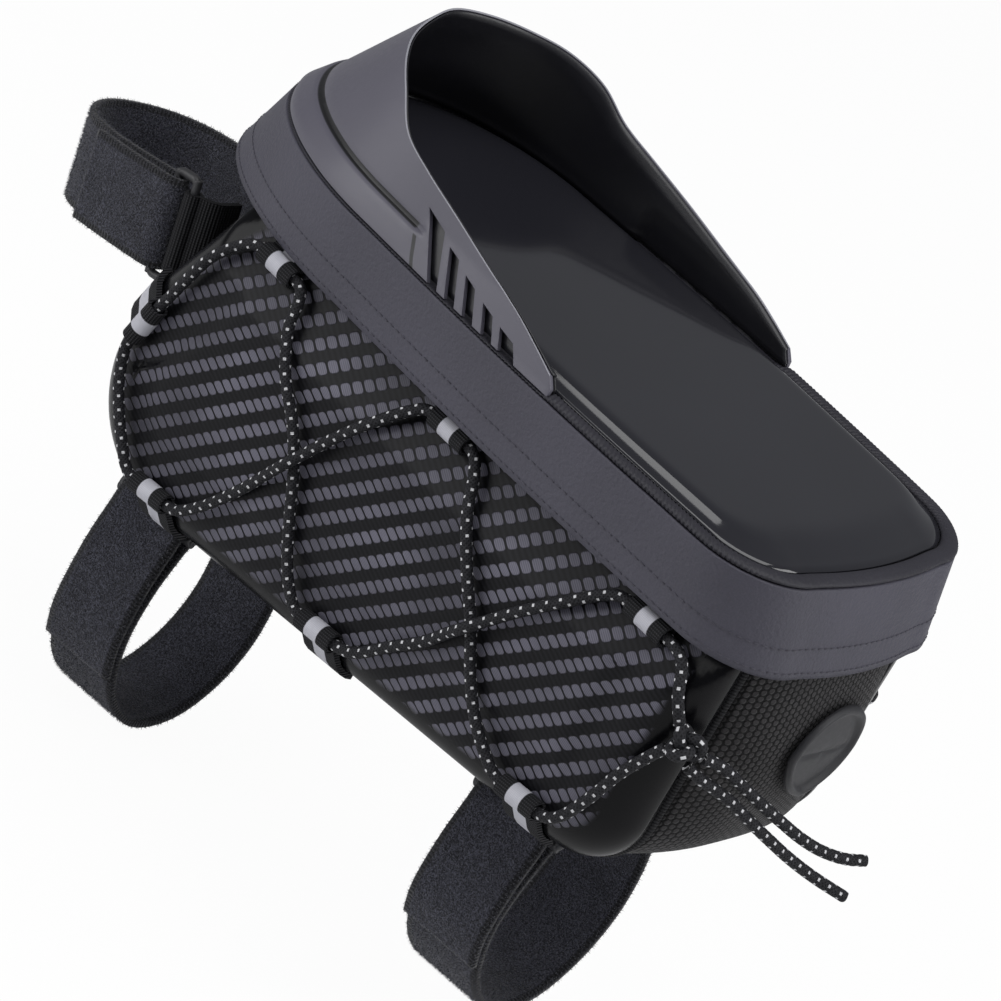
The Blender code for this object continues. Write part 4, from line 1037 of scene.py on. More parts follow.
def lid_pieces(skirt_finish, bead_finish, film_finish):
    """Skirt with its hem, ribbed rim bead, and the window film with its formed shoulder."""
    rows = []
    for level in (0.0, 0.02, 0.2, 0.4, 0.6, 0.8, 0.93, 0.96):
        rows.append(level_row(level, 0.0, -HEM_DROP * level))
    rows.append(level_row(0.975, 0.00025, -HEM_DROP * 0.975))
    rows.append(level_row(1.0, 0.0001, -HEM_DROP))
    for level in (1.0, 0.67, 0.33, 0.0):
        rows.append(level_row(level, SKIRT_WALL, -HEM_DROP * level))
    skirt = closed_strip("lid skirt", rows, 420, skirt_finish)
    shown(skirt, "lid", "lid_skirt")
    profile = [
        (0.0006, GAP), (0.0, 0.0008), (0.0004, 0.0013), (0.0010, 0.0017), (BEAD_WIDTH / 2, BEAD_RISE + 0.0004),
        (BEAD_WIDTH - 0.0010, 0.0017), (BEAD_WIDTH - 0.0004, 0.0013), (BEAD_WIDTH, 0.0008),
        (BEAD_WIDTH - 0.0006, GAP),
    ]
    rows = [dense(level_row(0.0, inset, height), 1680, closed=True) for inset, height in profile]
    beyond_visor = np.clip((rows[0][:, 0] - VISOR_RIM[-1][0]) / 0.004, 0.0, 1.0)
    for row in rows:
        row[:, 2] = LID_Z + GAP + (row[:, 2] - LID_Z - GAP) * (0.35 + 0.65 * beyond_visor)
    outer = rows[0]
    middle = np.mean(rows, axis=0)
    rib = 0.5 + 0.5 * np.cos(np.arange(1680) * math.tau / 4)
    straight = np.clip((0.097 - outer[:, 0]) / 0.012, 0.0, 1.0)
    shrink = (1 - rib) * straight * 0.26
    shaped = []
    for index, row in enumerate(rows):
        pull = shrink[:, None] if 0 < index < len(rows) - 1 else 0.0
        shaped.append(row + (middle - row) * pull)
    around = run_lengths(np.vstack([outer, outer[:1]]))
    uv = np.stack(np.broadcast_arrays(around[None], np.linspace(0, 0.012, len(rows) + 1)[:, None]), axis=-1)
    bead = outward(net("rim bead", shaped, bead_finish, around=True, ring=True, uv=uv))
    shown(bead, "lid", "rim_bead")
    edge = BEAD_WIDTH + GAP
    base = GAP + FILM_THICK
    profile = [
        (edge, base, 0.0), (edge + 0.0012, base + 0.0003, 0.001), (edge + 0.0020, base + 0.0009, 0.002),
        (edge + 0.0028, mix(base, FILM_RISE, 0.45), 0.003), (edge + 0.0036, mix(base, FILM_RISE, 0.72), 0.0045),
        (edge + 0.0045, mix(base, FILM_RISE, 0.90), 0.006), (edge + 0.0054, mix(base, FILM_RISE, 0.98), 0.007),
        (edge + 0.0065, FILM_RISE, 0.008), (edge + 0.0080, FILM_RISE, 0.0095), (edge + 0.016, FILM_RISE, 0.017),
    ]
    rows = []
    for inset, height, end_inset in profile:
        rows.append(dense(level_row(0.0, inset, height, end_inset), 260, closed=True))
    rows += [rows[-1] * np.array((0.6, 0.6, 1.0)) + np.array((0.004, 0, 0)),
             rows[-1] * np.array((0.02, 0.02, 1.0)) + np.array((0.004, 0, 0))]
    film = net("window film", rows, film_finish, around=True)
    close_middle(film, 260, 2)
    walled(film, FILM_THICK)
    shown(film, "lid", "window_film")


def visor_rows(line, levels, insets):
    """Rows of the visor from its foot to its rim; a level is a height above the foot, then a share of the rest."""
    rows, heights, shares = [], [], []
    for (height, rest, outset), inset in zip(levels, insets):
        row, row_heights, row_shares = [], [], []
        for bx, by, rx, ry, rz in line:
            rise = LID_Z + rz - VISOR_BASE_Z
            share = mix(max(height, 0.0) * min(1.0, 0.55 * rise / VISOR_GROOVE_TOP) / rise, 1.0, rest)
            above = share * rise if height >= 0 else height
            flare = VISOR_FLARE * max(0.0, 1 - (above + VISOR_FOOT_DROP) / VISOR_FLARE_REACH)
            band = max(0.0, min(1.0, (VISOR_BAND_END_X - bx) / VISOR_BAND_FADE))
            step = mix(flare, outset, band) - inset
            x, y = mix(bx, rx, share), mix(by, ry, share)
            out = Vector((x - NOSE_CENTRE_X, y)) if x < NOSE_CENTRE_X else Vector((0.0, y))
            out.normalize()
            row.append((x + out.x * step, y + out.y * step, VISOR_BASE_Z + above))
            row_heights.append(above)
            row_shares.append(share)
        rows.append(row)
        heights.append(row_heights)
        shares.append(row_shares)
    return rows, np.array(heights), np.array(shares)


def sun_visor(satin, black):
    """Visor sheet with its stepped base band and slots, and the black lining behind it."""
    half = [(bx, 0.0 if i == 0 else plan_half_width(bx, VISOR_INSET), *rim)
            for i, (bx, rim) in enumerate(zip(VISOR_BASE_X, VISOR_RIM))]
    around = [(bx, -by, rx, -ry, rz) for bx, by, rx, ry, rz in half[:0:-1]] + half
    line = dense(around, 221)
    sheet = [(-VISOR_FOOT_DROP, 0.0, VISOR_FLARE), (-0.0014, 0.0, 0.00185), (0.0, 0.0, 0.0017), (0.0015, 0.0, 0.0015),
             (0.0030, 0.0, 0.0013), (0.0045, 0.0, 0.0011), (0.0051, 0.0, 0.0009), (0.0055, 0.0, 0.00035),
             (0.0058, 0.0, -0.00045), (0.0069, 0.0, -0.00045), (VISOR_GROOVE_TOP, 0.0, 0.0)]
    sheet += [(VISOR_GROOVE_TOP, rest, 0.0) for rest in (0.10, 0.22, 0.35, 0.50, 0.65, 0.80, 0.90, 0.96, 0.99, 1.0)]
    lining = [(-0.0015, 0.0, 0.0)] + [(0.0, rest, 0.0) for rest in np.linspace(0.0, 0.985, 16)]
    full = VISOR_WALL + 2 * GAP
    for name, slot, finish, wall, node, levels, insets in (
        ("sun visor", "visor_sheet", satin, VISOR_WALL, "sun_visor", sheet, [0.0] * len(sheet)),
        ("visor lining", "visor_lining", black, VISOR_LINER, "visor_liner", lining,
         [mix(full, 0.0009, max(0.0, rest - 0.85) / 0.135) for _, rest, _ in lining]),
    ):
        rows, heights, shares = visor_rows(line, levels, insets)
        first = np.broadcast_to(line[:, 0], heights.shape)
        obj = net(name, rows, finish, uv=np.stack([first, heights], axis=-1),
                  second=np.stack([shares, shares], axis=-1))
        obj.data.flip_normals()
        thinned = obj.vertex_groups.new(name="wall")
        for i, (_, rest, _) in enumerate(levels):
            thinned.add(range(i * len(line), (i + 1) * len(line)), 1 - 0.62 * max(0.0, rest - 0.80) / 0.20, "REPLACE")
        walled(obj, wall, group="wall")
        if node == "sun_visor":
            cut_slots(obj)
        shown(obj, "lid", node)


def cut_slots(sheet):
    """Cut the visor's slanted slots through the sheet and soften their edges."""
    build = bmesh.new()
    for first, second, third, fourth in VISOR_SLOTS:
        outline = [first, second]
        for high, low in ((second, third), (first, fourth)):
            reach = (low[1] - VISOR_SLOT_FOOT_Z) / (high[1] - low[1])
            outline.append((low[0] + (low[0] - high[0]) * reach, VISOR_SLOT_FOOT_Z))
        for near, far in ((-0.065, -0.030), (0.030, 0.065)):
            ends = [[build.verts.new((x, y, z + LID_Z)) for x, z in outline] for y in (near, far)]
            build.faces.new(ends[0])
            build.faces.new(ends[1][::-1])
            for i in range(len(outline)):
                j = (i + 1) % len(outline)
                build.faces.new((ends[0][i], ends[1][i], ends[1][j], ends[0][j]))
    bmesh.ops.recalc_face_normals(build, faces=build.faces)
    mesh = bpy.data.meshes.new("slot cutter")
    build.to_mesh(mesh)
    build.free()
    cutter = bpy.data.objects.new("slot cutter", mesh)
    bpy.context.scene.collection.objects.link(cutter)
    cut = sheet.modifiers.new("slots", "BOOLEAN")
    cut.operation = "DIFFERENCE"
    cut.solver = "MANIFOLD"
    cut.object = cutter
    soften = sheet.modifiers.new("softened edges", "BEVEL")
    soften.width = 0.00022
    soften.segments = 2
    soften.limit_method = "ANGLE"
    soften.angle_limit = math.radians(50)
    finished(sheet)
    bpy.data.objects.remove(cutter)


def cable_port(finish):
    """Rubber patch on the rear end with a slit and a raised rim."""
    rows = []
    shares = [0.03, 0.15, 0.3, 0.45, 0.6, 0.72, 0.80, 0.84, 0.90, 0.96, 1.0]
    rises = [0.0004, 0.0004, 0.0004, 0.0004, 0.0004, 0.0004, 0.0005, 0.0014, 0.0018, 0.0016, 0.0004]
    for share, rise in zip(shares, rises):
        row = []
        for i in range(96):
            turn = math.tau * i / 96
            narrow = 1.0 - 0.22 * max(0.0, -math.sin(turn)) * abs(math.cos(turn))
            y = PORT_CENTRE[0] + PORT_SIZE[0] / 2 * share * math.cos(turn) * narrow
            z = PORT_CENTRE[1] + PORT_SIZE[1] / 2 * share * math.sin(turn) * narrow
            slit = math.exp(-((z - PORT_CENTRE[1]) / 0.0007) ** 2) * (1 if share < 0.7 else 0)
            x = SEAM_REAR_X + gusset_bulge(SEAM_REAR_X, z, y) + GAP + 0.0003 + rise - 0.0006 * slit
            row.append((x + 0.0006, y, z))
        rows.append(row)
    obj = net("cable port", rows[::-1], finish, around=True)
    close_middle(obj, 96, 0)
    walled(obj, 0.0009)
    shown(obj, "bag", "cable_port")


def flat_frame(x_axis, y_axis, origin):
    """Place in space of a flat piece whose own X and Y lie along two directions."""
    x_axis = Vector(x_axis).normalized()
    y_axis = Vector(y_axis).normalized()
    z_axis = x_axis.cross(y_axis)
    turn = Matrix((x_axis, y_axis, z_axis)).transposed().to_4x4()
    return Matrix.Translation(origin) @ turn


def wall_faces(build, layer, line, levels):
    """Faces of a wall over a closed edge view, with its length and width as its pattern map."""
    run = run_lengths(np.vstack([line, line[:1]]))
    rings = [[build.verts.new((x, y, level)) for x, y in line] for level in levels]
    count = len(line)
    for k in range(len(levels) - 1):
        for i in range(count):
            j = (i + 1) % count
            face = build.faces.new((rings[k][i], rings[k][j], rings[k + 1][j], rings[k + 1][i]))
            values = ((run[i], levels[k]), (run[i + 1], levels[k]), (run[i + 1], levels[k + 1]),
                      (run[i], levels[k + 1]))
            for loop, value in zip(face.loops, values):
                loop[layer].uv = value
    return rings, run


def placed_mesh(name, build, place, finish):
    """Object from a build that is moved to its place."""
    bmesh.ops.recalc_face_normals(build, faces=build.faces)
    bmesh.ops.transform(build, matrix=place, verts=build.verts)
    mesh = bpy.data.meshes.new(name)
    build.to_mesh(mesh)
    build.free()
    return outward(new_object(name, mesh, finish))


def band_mesh(name, outline, width, place, finish):
    """Closed band from its edge view."""
    levels = np.linspace(-width / 2, width / 2, 13)
    build = bmesh.new()
    layer = build.loops.layers.uv.new("pattern")
    rings, run = wall_faces(build, layer, np.asarray(outline, float), levels)
    count = len(outline)
    for rim, level in ((rings[0], levels[0]), (rings[-1], levels[-1])):
        for i in range(count // 2 - 1):
            corners = (rim[i], rim[i + 1], rim[count - 2 - i], rim[count - 1 - i])
            if len(set(corners)) == 4:
                face = build.faces.new(corners)
                for loop, index in zip(face.loops, (i, i + 1, i + 1, i)):
                    loop[layer].uv = (run[index], level)
    return placed_mesh(name, build, place, finish)


def eye_mesh(name, centre, tail, hole, outer, thick, width, place, finish):
    """Band folded round a bar or cord and sewn to itself along its tail."""
    centre = Vector(centre)
    first = (Vector(tail[0]) - centre).normalized()
    line = [tuple(centre + first * outer)] + list(tail)
    left = offset_path(line, thick / 2)[1:]
    right = offset_path(line, -thick / 2)[1:]
    base = math.atan2(first.y, first.x)
    open_angle = math.asin(thick / 2 / outer)
    outline = []
    for i in range(33):
        turn = base + open_angle + (math.tau - 2 * open_angle) * i / 32
        outline.append((centre.x + outer * math.cos(turn), centre.y + outer * math.sin(turn)))
    outline += right + left[::-1]
    eye = [(centre.x + hole * math.cos(math.tau * i / 24), centre.y + hole * math.sin(math.tau * i / 24))
           for i in range(24)]
    levels = np.linspace(-width / 2, width / 2, 9)
    build = bmesh.new()
    layer = build.loops.layers.uv.new("pattern")
    for loop_line in (outline, eye):
        wall_faces(build, layer, loop_line, levels)
    edges = [edge for edge in build.edges if edge.is_boundary]
    for end in (levels[0], levels[-1]):
        rim = [edge for edge in edges if all(abs(vert.co.z - end) < 1e-7 for vert in edge.verts)]
        made = bmesh.ops.triangle_fill(build, use_beauty=True, edges=rim)["geom"]
        for face in made:
            if isinstance(face, bmesh.types.BMFace):
                for loop in face.loops:
                    loop[layer].uv = (loop.vert.co.x, end)
    obj = placed_mesh(name, build, place, finish)
    obj.data.set_sharp_from_angle(angle=math.radians(40))
    return obj


def oblong_ring(name, far_bar, tilt, x_axis, y_axis, origin, finish):
    """Plastic ring that a strap doubles back through."""
    tilt = Vector(tilt).normalized()
    middle = Vector(far_bar) - tilt * RING_PITCH / 2
    x_axis = Vector(x_axis).normalized()
    y_axis = Vector(y_axis).normalized()
    along = x_axis * tilt.x + y_axis * tilt.y
    width = x_axis.cross(y_axis)
    centre = Vector(origin) + x_axis * middle.x + y_axis * middle.y
    outline = rounded_box(-RING_PITCH / 2, RING_PITCH / 2, RING_LENGTH / 2, RING_CORNER)
    line = [tuple(centre + along * a + width * b) for a, b in outline]
    return round_bar(name, dense(line, 160, closed=True), RING_BAR, finish, 14, closed=True)


def strap_set(name, route, far_bar, tilt, tab_tail, x_axis, y_axis, origin, finishes):
    """Strap with its pile, its ring and the ring's sewn tab."""
    strap_finish, fibre_finish, ring_finish, tab_finish = finishes
    place = flat_frame(x_axis, y_axis, origin)
    path = [tuple(point) for point in dense(smooth_path(route, 4), 220)]
    outline = offset_path(path, STRAP_THICK / 2) + offset_path(path, -STRAP_THICK / 2)[::-1]
    strap = band_mesh(f"{name} strap", outline, STRAP_WIDTH, place, strap_finish)
    join_into(strap, grown_pile(strap, fibre_finish))
    shown(strap, "bag", f"{name}_strap")
    near = Vector(far_bar) - Vector(tilt).normalized() * RING_PITCH
    hole = RING_BAR + GAP
    tab = eye_mesh(f"{name} ring tab", near, tab_tail, hole, hole + 0.0010, TAB_THICK, TAB_WIDTH, place, tab_finish)
    shown(tab, "bag", f"{name}_ring_tab")
    hoop = oblong_ring(f"{name} ring", far_bar, tilt, x_axis, y_axis, origin, ring_finish)
    shown(hoop, "bag", f"{name}_ring")


def straps(finishes):
    """Two straps under the bag and one in front of it."""
    below = (math.sin(SLOPE), 0.0, -math.cos(SLOPE))
    for name, x, drop in zip(("bottom_front", "bottom_rear"), BOTTOM_STRAPS_X, BOTTOM_STRAP_DROPS):
        tail = [(-0.0118, 0.0038), (-0.0100, 0.0016), (-0.0045, 0.0013)]
        route = [(y, down + drop * min(1.0, max(0.0, (down - 0.020) / 0.030))) for y, down in BOTTOM_STRAP_ROUTE]
        strap_set(name, route, BOTTOM_RING, BOTTOM_RING_TILT, tail, (0, 1, 0), below, (x, 0.0, SEAT_SLOPE * x),
                  finishes)
    ahead = (-math.cos(FRONT_STRAP_DROOP), 0.0, -math.sin(FRONT_STRAP_DROOP))
    lower_edge = front_seam(FRONT_STRAP_Z - STRAP_WIDTH / 2)[0] - math.sin(FRONT_STRAP_DROOP) * STRAP_WIDTH / 2
    tail = [(-0.0190, 0.0040), (-0.0165, 0.0020), (-0.0100, 0.0014)]
    strap_set("front", FRONT_STRAP_ROUTE, FRONT_RING, FRONT_RING_TILT, tail, (0, 1, 0), ahead,
              (lower_edge - FRONT_BULGE - GAP, 0.0, FRONT_STRAP_Z), finishes)


def webbing_loops(side, label, finish):
    """Loops of one side: three under the skirt, one at the front edge and three at the bottom edge."""
    lean = Vector((SHELL_TOP_LEAN, -1.0)).normalized()
    normal = Vector((-lean.y, lean.x))
    surface = Vector((SHELL_TOP_Y + (BODY_TOP_Z - TOP_LOOP_Z) * SHELL_TOP_LEAN, TOP_LOOP_Z))
    centre = surface + normal * LOOP_LIFT
    low = LOOP_TAIL / 2 + GAP
    tail = [tuple(surface - lean * 0.0040 + normal * (low + 0.0004)), tuple(surface - lean * 0.0085 + normal * low)]
    places = []
    for i, x in enumerate(TOP_LOOPS_X):
        places.append((f"top_{i + 1}", centre, tail, flat_frame((0, side, 0), (0, 0, 1), (x, 0.0, 0.0))))
    centre = margin_point(LOOP_SEAT_TURN, LOOP_LIFT)
    tail = [margin_point(math.radians(turn), low + 0.0001) for turn in (55.0, 42.0, 30.0, 18.0, 8.0)]
    inward = Vector((-math.sin(SLOPE), 0.0, math.cos(SLOPE)))
    for i, x in enumerate(BOTTOM_LOOPS_X):
        places.append((f"bottom_{i + 1}", centre, tail, flat_frame(inward, (0, side, 0), (x, 0.0, SEAT_SLOPE * x))))
    x, z, nx, nz = front_seam(FRONT_LOOP_Z)
    places.append(("front", centre, tail, flat_frame((-nx, 0.0, -nz), (0, side, 0), (x, 0.0, z))))
    for name, middle, end, place in places:
        loop = eye_mesh(f"webbing loop {label} {name}", tuple(middle), end, LOOP_HOLE, LOOP_RADIUS, LOOP_TAIL,
                        LOOP_WIDTH, place, finish)
        shown(loop, "bag", f"loop_{label}_{name}")


def lacing(side, label, finish):
    """Braided cord laced through one side's loops, and its knot."""
    start, end = LACING_ENDS[label]
    points = [(x, side * (shell_y(x, z) + lift), z) for x, z, lift in start + LACING + end]
    cord = round_bar(f"lacing cord {label}", dense(points, 2000), CORD_RADIUS, finish, 20, braid=0.10)
    shown(cord, "bag", f"lacing_{label}")
    turn = np.linspace(0, math.tau, 260, endpoint=False)
    loops = np.stack([np.sin(turn) + 2 * np.sin(2 * turn), np.cos(turn) - 2 * np.cos(2 * turn), -np.sin(3 * turn)], 1)
    lean = Matrix.Rotation(0.7, 3, "X") @ Matrix.Rotation(0.5, 3, "Y")
    loops = (loops * np.array((0.00125, 0.00125, 0.0016))) @ np.array(lean).T + np.array(KNOTS[label])
    knot = round_bar(f"knot {label}", loops, CORD_RADIUS, finish, 18, closed=True, braid=0.10)
    shown(knot, "bag", f"knot_{label}")


def cord_tails(finish):
    """The two free ends of the left lacing."""
    for name, route in TAIL_ROUTES.items():
        path = dense(route, 200)
        tail = round_bar(name.replace("_", " "), path, CORD_RADIUS, finish, 20, braid=0.10)
        shown(tail, "bag", name)


def join_into(obj, other):
    """Merge another mesh into an object, keeping its own material."""
    build = bmesh.new()
    build.from_mesh(obj.data)
    offset = len(obj.data.materials)
    for material in other.data.materials:
        obj.data.materials.append(material)
    count = len(build.faces)
    build.from_mesh(other.data)
    build.faces.ensure_lookup_table()
    for face in build.faces[count:]:
        face.material_index += offset
        face.smooth = True
    build.to_mesh(obj.data)
    build.free()
    bpy.data.objects.remove(other)


def node_tree(name, inputs):
    """Geometry tree with named inputs besides its geometry."""
    tree = bpy.data.node_groups.new(name, "GeometryNodeTree")
    tree.interface.new_socket("Geometry", in_out="INPUT", socket_type="NodeSocketGeometry")
    for label, kind, value in inputs:
        socket = tree.interface.new_socket(label, in_out="INPUT", socket_type=kind)
        if value is not None:
            socket.default_value = value
    tree.interface.new_socket("Geometry", in_out="OUTPUT", socket_type="NodeSocketGeometry")
    return tree, tree.nodes.new("NodeGroupInput")


def end_tree(tree, given, points, shape, rotation):
    """Put a shape on every point, make the copies real and give them the finish."""
    nodes, links = tree.nodes, tree.links
    spread = nodes.new("GeometryNodeInstanceOnPoints")
    real = nodes.new("GeometryNodeRealizeInstances")
    paint = nodes.new("GeometryNodeSetMaterial")
    for start, end in (
        (points, spread.inputs["Points"]), (shape, spread.inputs["Instance"]), (rotation, spread.inputs["Rotation"]),
        (spread.outputs["Instances"], real.inputs[0]), (real.outputs[0], paint.inputs["Geometry"]),
        (given.outputs["Finish"], paint.inputs["Material"]), (paint.outputs[0], nodes.new("NodeGroupOutput").inputs[0]),
    ):
        links.new(start, end)


def run_tree(name, source, tree, values):
    """Run a geometry tree on a source object and keep the result as a plain mesh."""
    modifier = source.modifiers.new(name, "NODES")
    modifier.node_group = tree
    for item in tree.interface.items_tree:
        if item.in_out == "INPUT" and item.name in values:
            modifier[item.identifier] = values[item.name]
    graph = bpy.context.evaluated_depsgraph_get()
    mesh = bpy.data.meshes.new_from_object(source.evaluated_get(graph), depsgraph=graph)
    source.modifiers.clear()
    mesh.name = name
    return mesh


def grown_pile(strap, finish):
    """Short fibres scattered over a strap's faces."""
    tree, given = node_tree("scattered fibres", [
        ("Density", "NodeSocketFloat", 1.0), ("Length", "NodeSocketFloat", 0.001),
        ("Radius", "NodeSocketFloat", 0.0001), ("Seed", "NodeSocketInt", 3), ("Finish", "NodeSocketMaterial", None)])
    nodes, links = tree.nodes, tree.links
    scatter = nodes.new("GeometryNodeDistributePointsOnFaces")
    links.new(given.outputs["Geometry"], scatter.inputs["Mesh"])
    links.new(given.outputs["Density"], scatter.inputs["Density"])
    links.new(given.outputs["Seed"], scatter.inputs["Seed"])
    fibre = nodes.new("GeometryNodeMeshCone")
    fibre.inputs["Vertices"].default_value = 3
    links.new(given.outputs["Radius"], fibre.inputs["Radius Bottom"])
    links.new(given.outputs["Length"], fibre.inputs["Depth"])
    wobble = nodes.new("FunctionNodeRandomValue")
    wobble.data_type = "FLOAT_VECTOR"
    wobble.inputs[0].default_value = (-0.9, -0.9, -3.1)
    wobble.inputs[1].default_value = (0.9, 0.9, 3.1)
    wobble.inputs["Seed"].default_value = 11
    turn = nodes.new("FunctionNodeRotateRotation")
    turn.rotation_space = "LOCAL"
    links.new(scatter.outputs["Rotation"], turn.inputs[0])
    tilt = nodes.new("FunctionNodeEulerToRotation")
    links.new(wobble.outputs[0], tilt.inputs[0])
    links.new(tilt.outputs[0], turn.inputs[1])
    end_tree(tree, given, scatter.outputs["Points"], fibre.outputs["Mesh"], turn.outputs[0])
    mesh = run_tree("pile", strap, tree, {
        "Density": 1900000.0, "Length": 0.0009, "Radius": 0.00009, "Seed": 7, "Finish": finish})
    return new_object("pile", mesh)


def stitched(name, points, pitch, length, radius, finish):
    """Row of stitches along a line."""
    curve = bpy.data.curves.new(name, "CURVE")
    curve.dimensions = "3D"
    spline = curve.splines.new("POLY")
    spline.points.add(len(points) - 1)
    for slot, point in zip(spline.points, points):
        slot.co = (*point, 1.0)
    source = bpy.data.objects.new(name, curve)
    bpy.context.scene.collection.objects.link(source)
    tree, given = node_tree("row of stitches", [
        ("Pitch", "NodeSocketFloat", 0.002), ("Length", "NodeSocketFloat", 0.001),
        ("Radius", "NodeSocketFloat", 0.0002), ("Finish", "NodeSocketMaterial", None)])
    nodes, links = tree.nodes, tree.links
    spaced = nodes.new("GeometryNodeCurveToPoints")
    spaced.mode = "LENGTH"
    links.new(given.outputs["Geometry"], spaced.inputs["Curve"])
    links.new(given.outputs["Pitch"], spaced.inputs["Length"])
    stitch = nodes.new("GeometryNodeMeshCylinder")
    stitch.inputs["Vertices"].default_value = 6
    links.new(given.outputs["Radius"], stitch.inputs["Radius"])
    links.new(given.outputs["Length"], stitch.inputs["Depth"])
    end_tree(tree, given, spaced.outputs["Points"], stitch.outputs["Mesh"], spaced.outputs["Rotation"])
    mesh = run_tree(name, source, tree, {"Pitch": pitch, "Length": length, "Radius": radius, "Finish": finish})
    bpy.data.objects.remove(source)
    return new_object(name, mesh)


def skirt_stitches(finish):
    """Stitch row round the lower third of the skirt and along its hem."""
    for name, level in (("skirt seam stitches", 0.66), ("hem stitches", 0.93)):
        line = dense(level_row(level, -0.00005, -HEM_DROP * level), 600, closed=True)
        row = stitched(name, [tuple(point) for point in line], 0.0022, 0.0014, 0.00016, finish)
        shown(row, "lid")


def zip_teeth(finish):
    """Coil of teeth along the body's zip tape, sunk in the tape where the slider travels."""
    half = COLLAR_HALF_WIDTH + GAP + ZIP_THICK + 0.0003
    sunk = half - 0.0011
    travel_end = SLIDER_X + 0.1270
    rear = [point for point in collar_outline(GAP + ZIP_THICK + 0.0003) if point[0] > 0]
    rear.sort(key=lambda point: math.atan2(point[1], point[0] - 0.05))
    rear = [(x, min(y, sunk) if x < travel_end + 0.004 else y) for x, y in rear]
    path = [(ZIP_START_X, -half)] + rear + [(travel_end, sunk), (SLIDER_X + 0.0065, sunk)]
    line = [(x, y, ZIP_TOP_Z - ZIP_HEIGHT / 2) for x, y in path]
    teeth = stitched("zip teeth", divided(line, 0.002), 0.0013, 0.0007, 0.0010, finish)
    shown(teeth, "bag")


def collar(finish):
    """Inner fabric wall round the opening."""
    rows = []
    top, low = COLLAR_TOP_Z, COLLAR_TOP_Z - COLLAR_HEIGHT
    for outset, z in ((0.0, top), (0.0, (top + low) / 2), (0.0, low), (-COLLAR_WALL, low), (-COLLAR_WALL, top)):
        outline = [(x, y, z) for x, y in collar_outline(outset)]
        rows.append(dense(divided(outline + outline[:1], 0.003), 220, closed=True))
    heights = run_lengths([row[0] for row in rows] + [rows[0][0]])
    around = run_lengths(np.vstack([rows[0], rows[0][:1]]))
    uv = np.stack(np.broadcast_arrays(around[None], heights[:, None]), axis=-1)
    obj = outward(net("opening collar", rows, finish, around=True, ring=True, uv=uv))
    shown(obj, "bag", "opening_collar")


def dress_cad_nodes(finishes):
    """Finish for the frame's own pieces that stay shown."""
    for node, finish in finishes.items():
        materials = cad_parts[node].data.materials
        materials.clear()
        materials.append(finish)


def lamp(name, place, aim, size, power, colour=(1.0, 1.0, 1.0)):
    """Soft box aimed at the bag."""
    data = bpy.data.lights.new(name, "AREA")
    data.shape = "RECTANGLE"
    data.size, data.size_y = size
    data.energy = power
    data.color = colour
    obj = bpy.data.objects.new(name, data)
    bpy.context.scene.collection.objects.link(obj)
    direction = Vector(aim) - Vector(place)
    obj.matrix_world = Matrix.Translation(place) @ direction.to_track_quat("-Z", "Y").to_matrix().to_4x4()


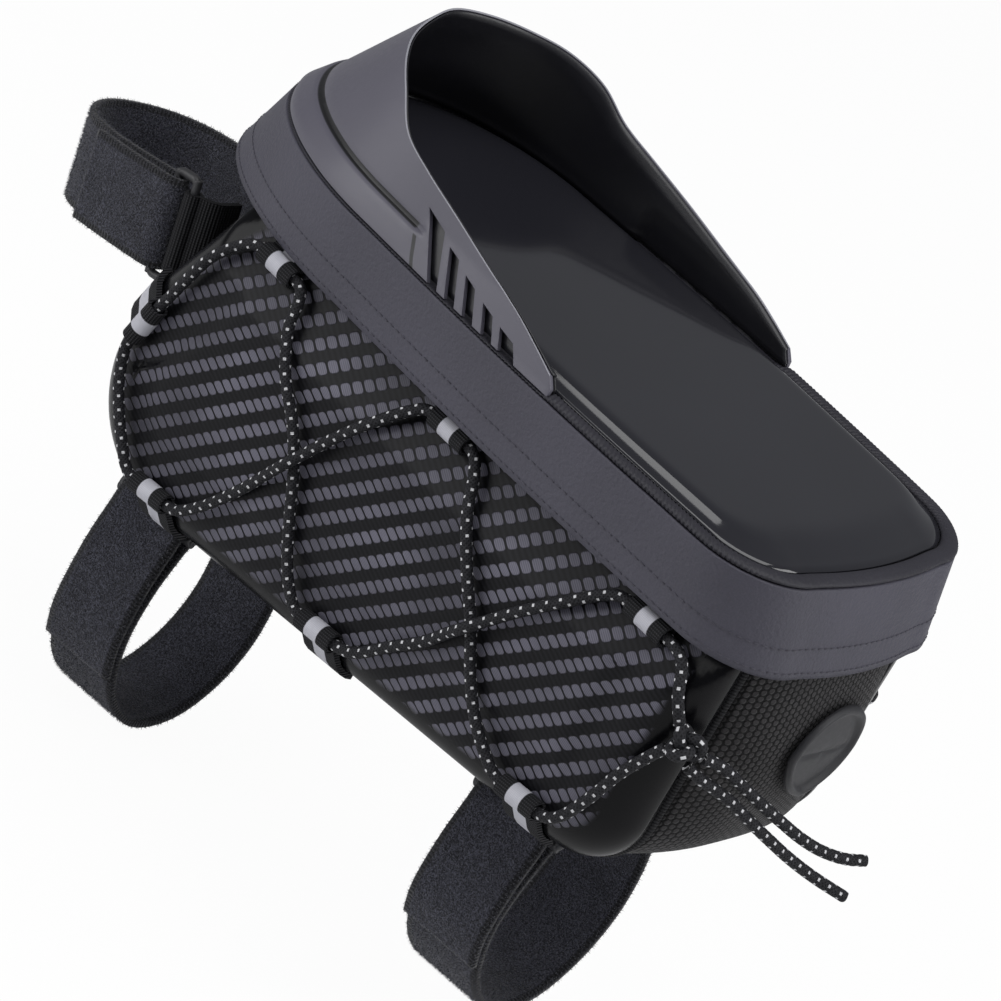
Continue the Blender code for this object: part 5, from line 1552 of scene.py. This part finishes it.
def studio():
    """White floor and surroundings, and three soft boxes."""
    world = bpy.data.worlds.new("studio white")
    bpy.context.scene.world = world
    world.use_nodes = True
    nodes, links = world.node_tree.nodes, world.node_tree.links
    nodes.clear()
    path = nodes.new("ShaderNodeLightPath")
    seen = nodes.new("ShaderNodeBackground")
    seen.inputs["Color"].default_value = (1.0, 1.0, 1.0, 1.0)
    seen.inputs["Strength"].default_value = 1.0
    fill = nodes.new("ShaderNodeBackground")
    fill.inputs["Color"].default_value = (0.93, 0.95, 1.0, 1.0)
    fill.inputs["Strength"].default_value = 0.22
    choose = nodes.new("ShaderNodeMixShader")
    out = nodes.new("ShaderNodeOutputWorld")
    links.new(path.outputs["Is Camera Ray"], choose.inputs[0])
    links.new(fill.outputs[0], choose.inputs[1])
    links.new(seen.outputs[0], choose.inputs[2])
    links.new(choose.outputs[0], out.inputs[0])
    floor_z = cad_box[0][2] - 0.0005
    mesh = bpy.data.meshes.new("floor")
    mesh.from_pydata([(-3, -3, floor_z), (3, -3, floor_z), (3, 3, floor_z), (-3, 3, floor_z)], [], [(0, 1, 2, 3)])
    material = bpy.data.materials.new("white floor")
    material.use_nodes = True
    nodes, links = material.node_tree.nodes, material.node_tree.links
    shader = nodes["Principled BSDF"]
    shader.inputs["Base Color"].default_value = (0.86, 0.86, 0.86, 1.0)
    shader.inputs["Roughness"].default_value = 0.9
    path = nodes.new("ShaderNodeLightPath")
    glow = nodes.new("ShaderNodeEmission")
    share = nodes.new("ShaderNodeMath")
    share.operation = "MULTIPLY"
    share.inputs[1].default_value = 0.96
    links.new(path.outputs["Is Camera Ray"], share.inputs[0])
    choose = nodes.new("ShaderNodeMixShader")
    links.new(share.outputs[0], choose.inputs[0])
    links.new(shader.outputs[0], choose.inputs[1])
    links.new(glow.outputs[0], choose.inputs[2])
    links.new(choose.outputs[0], nodes["Material Output"].inputs["Surface"])
    floor = new_object("floor", mesh, material)
    lamp("large overhead box", (0.15, -0.2, 1.1), (0.0, 0.0, 0.05), (1.2, 0.8), 8.5)
    lamp("left front box", (-0.75, -0.95, 0.35), (0.0, 0.0, 0.03), (0.7, 0.9), 7.0)
    lamp("rear right box", (0.95, 0.35, 0.55), (0.0, 0.0, 0.05), (0.6, 0.8), 6.0)
    bpy.context.scene.view_settings.view_transform = "Standard"


def build_bag():
    """Make every piece and its finish."""
    cord = braided_cord()
    cord_tails(cord)
    leather = leatherette()
    bead_leather = leatherette("bead leatherette", 0.40)
    tape = tape_webbing()
    cloth = plain_cloth()
    ribbon = loop_webbing()
    weave = moulded_weave()
    ring_plastic = moulded_plastic("ring plastic", (0.035, 0.035, 0.038), 0.40)
    rubber = moulded_plastic("port rubber", (0.025, 0.025, 0.028), 0.50)
    board = moulded_plastic("stiffener board", (0.020, 0.020, 0.022), 0.60)
    metal = zip_alloy()
    thread = moulded_plastic("sewing thread", (0.052, 0.050, 0.064), 0.60)
    mesh_cloth = spacer_mesh()
    for side, label in ((-1, "left"), (1, "right")):
        side_shell(label, side, weave)
        seam_piping(label, side, tape)
        webbing_loops(side, label, ribbon)
        lacing(side, label, cord)
    gusset_band(mesh_cloth)
    lid_pieces(leather, bead_leather, clear_film())
    skirt_stitches(thread)
    sun_visor(visor_satin(), visor_black())
    cable_port(rubber)
    straps((looped_pile(), pile_fibre(), ring_plastic, tape))
    collar(mesh_cloth)
    zip_teeth(metal)
    dress_cad_nodes({
        "base_board": board, "zip_chain": cloth, "hinge_flap": cloth, "zip_slider": metal, "zip_pull": metal,
        "lid_frame": board, "pocket_panel": cloth, "lid_tape": cloth,
    })


add_camera()
studio()
build_bag()
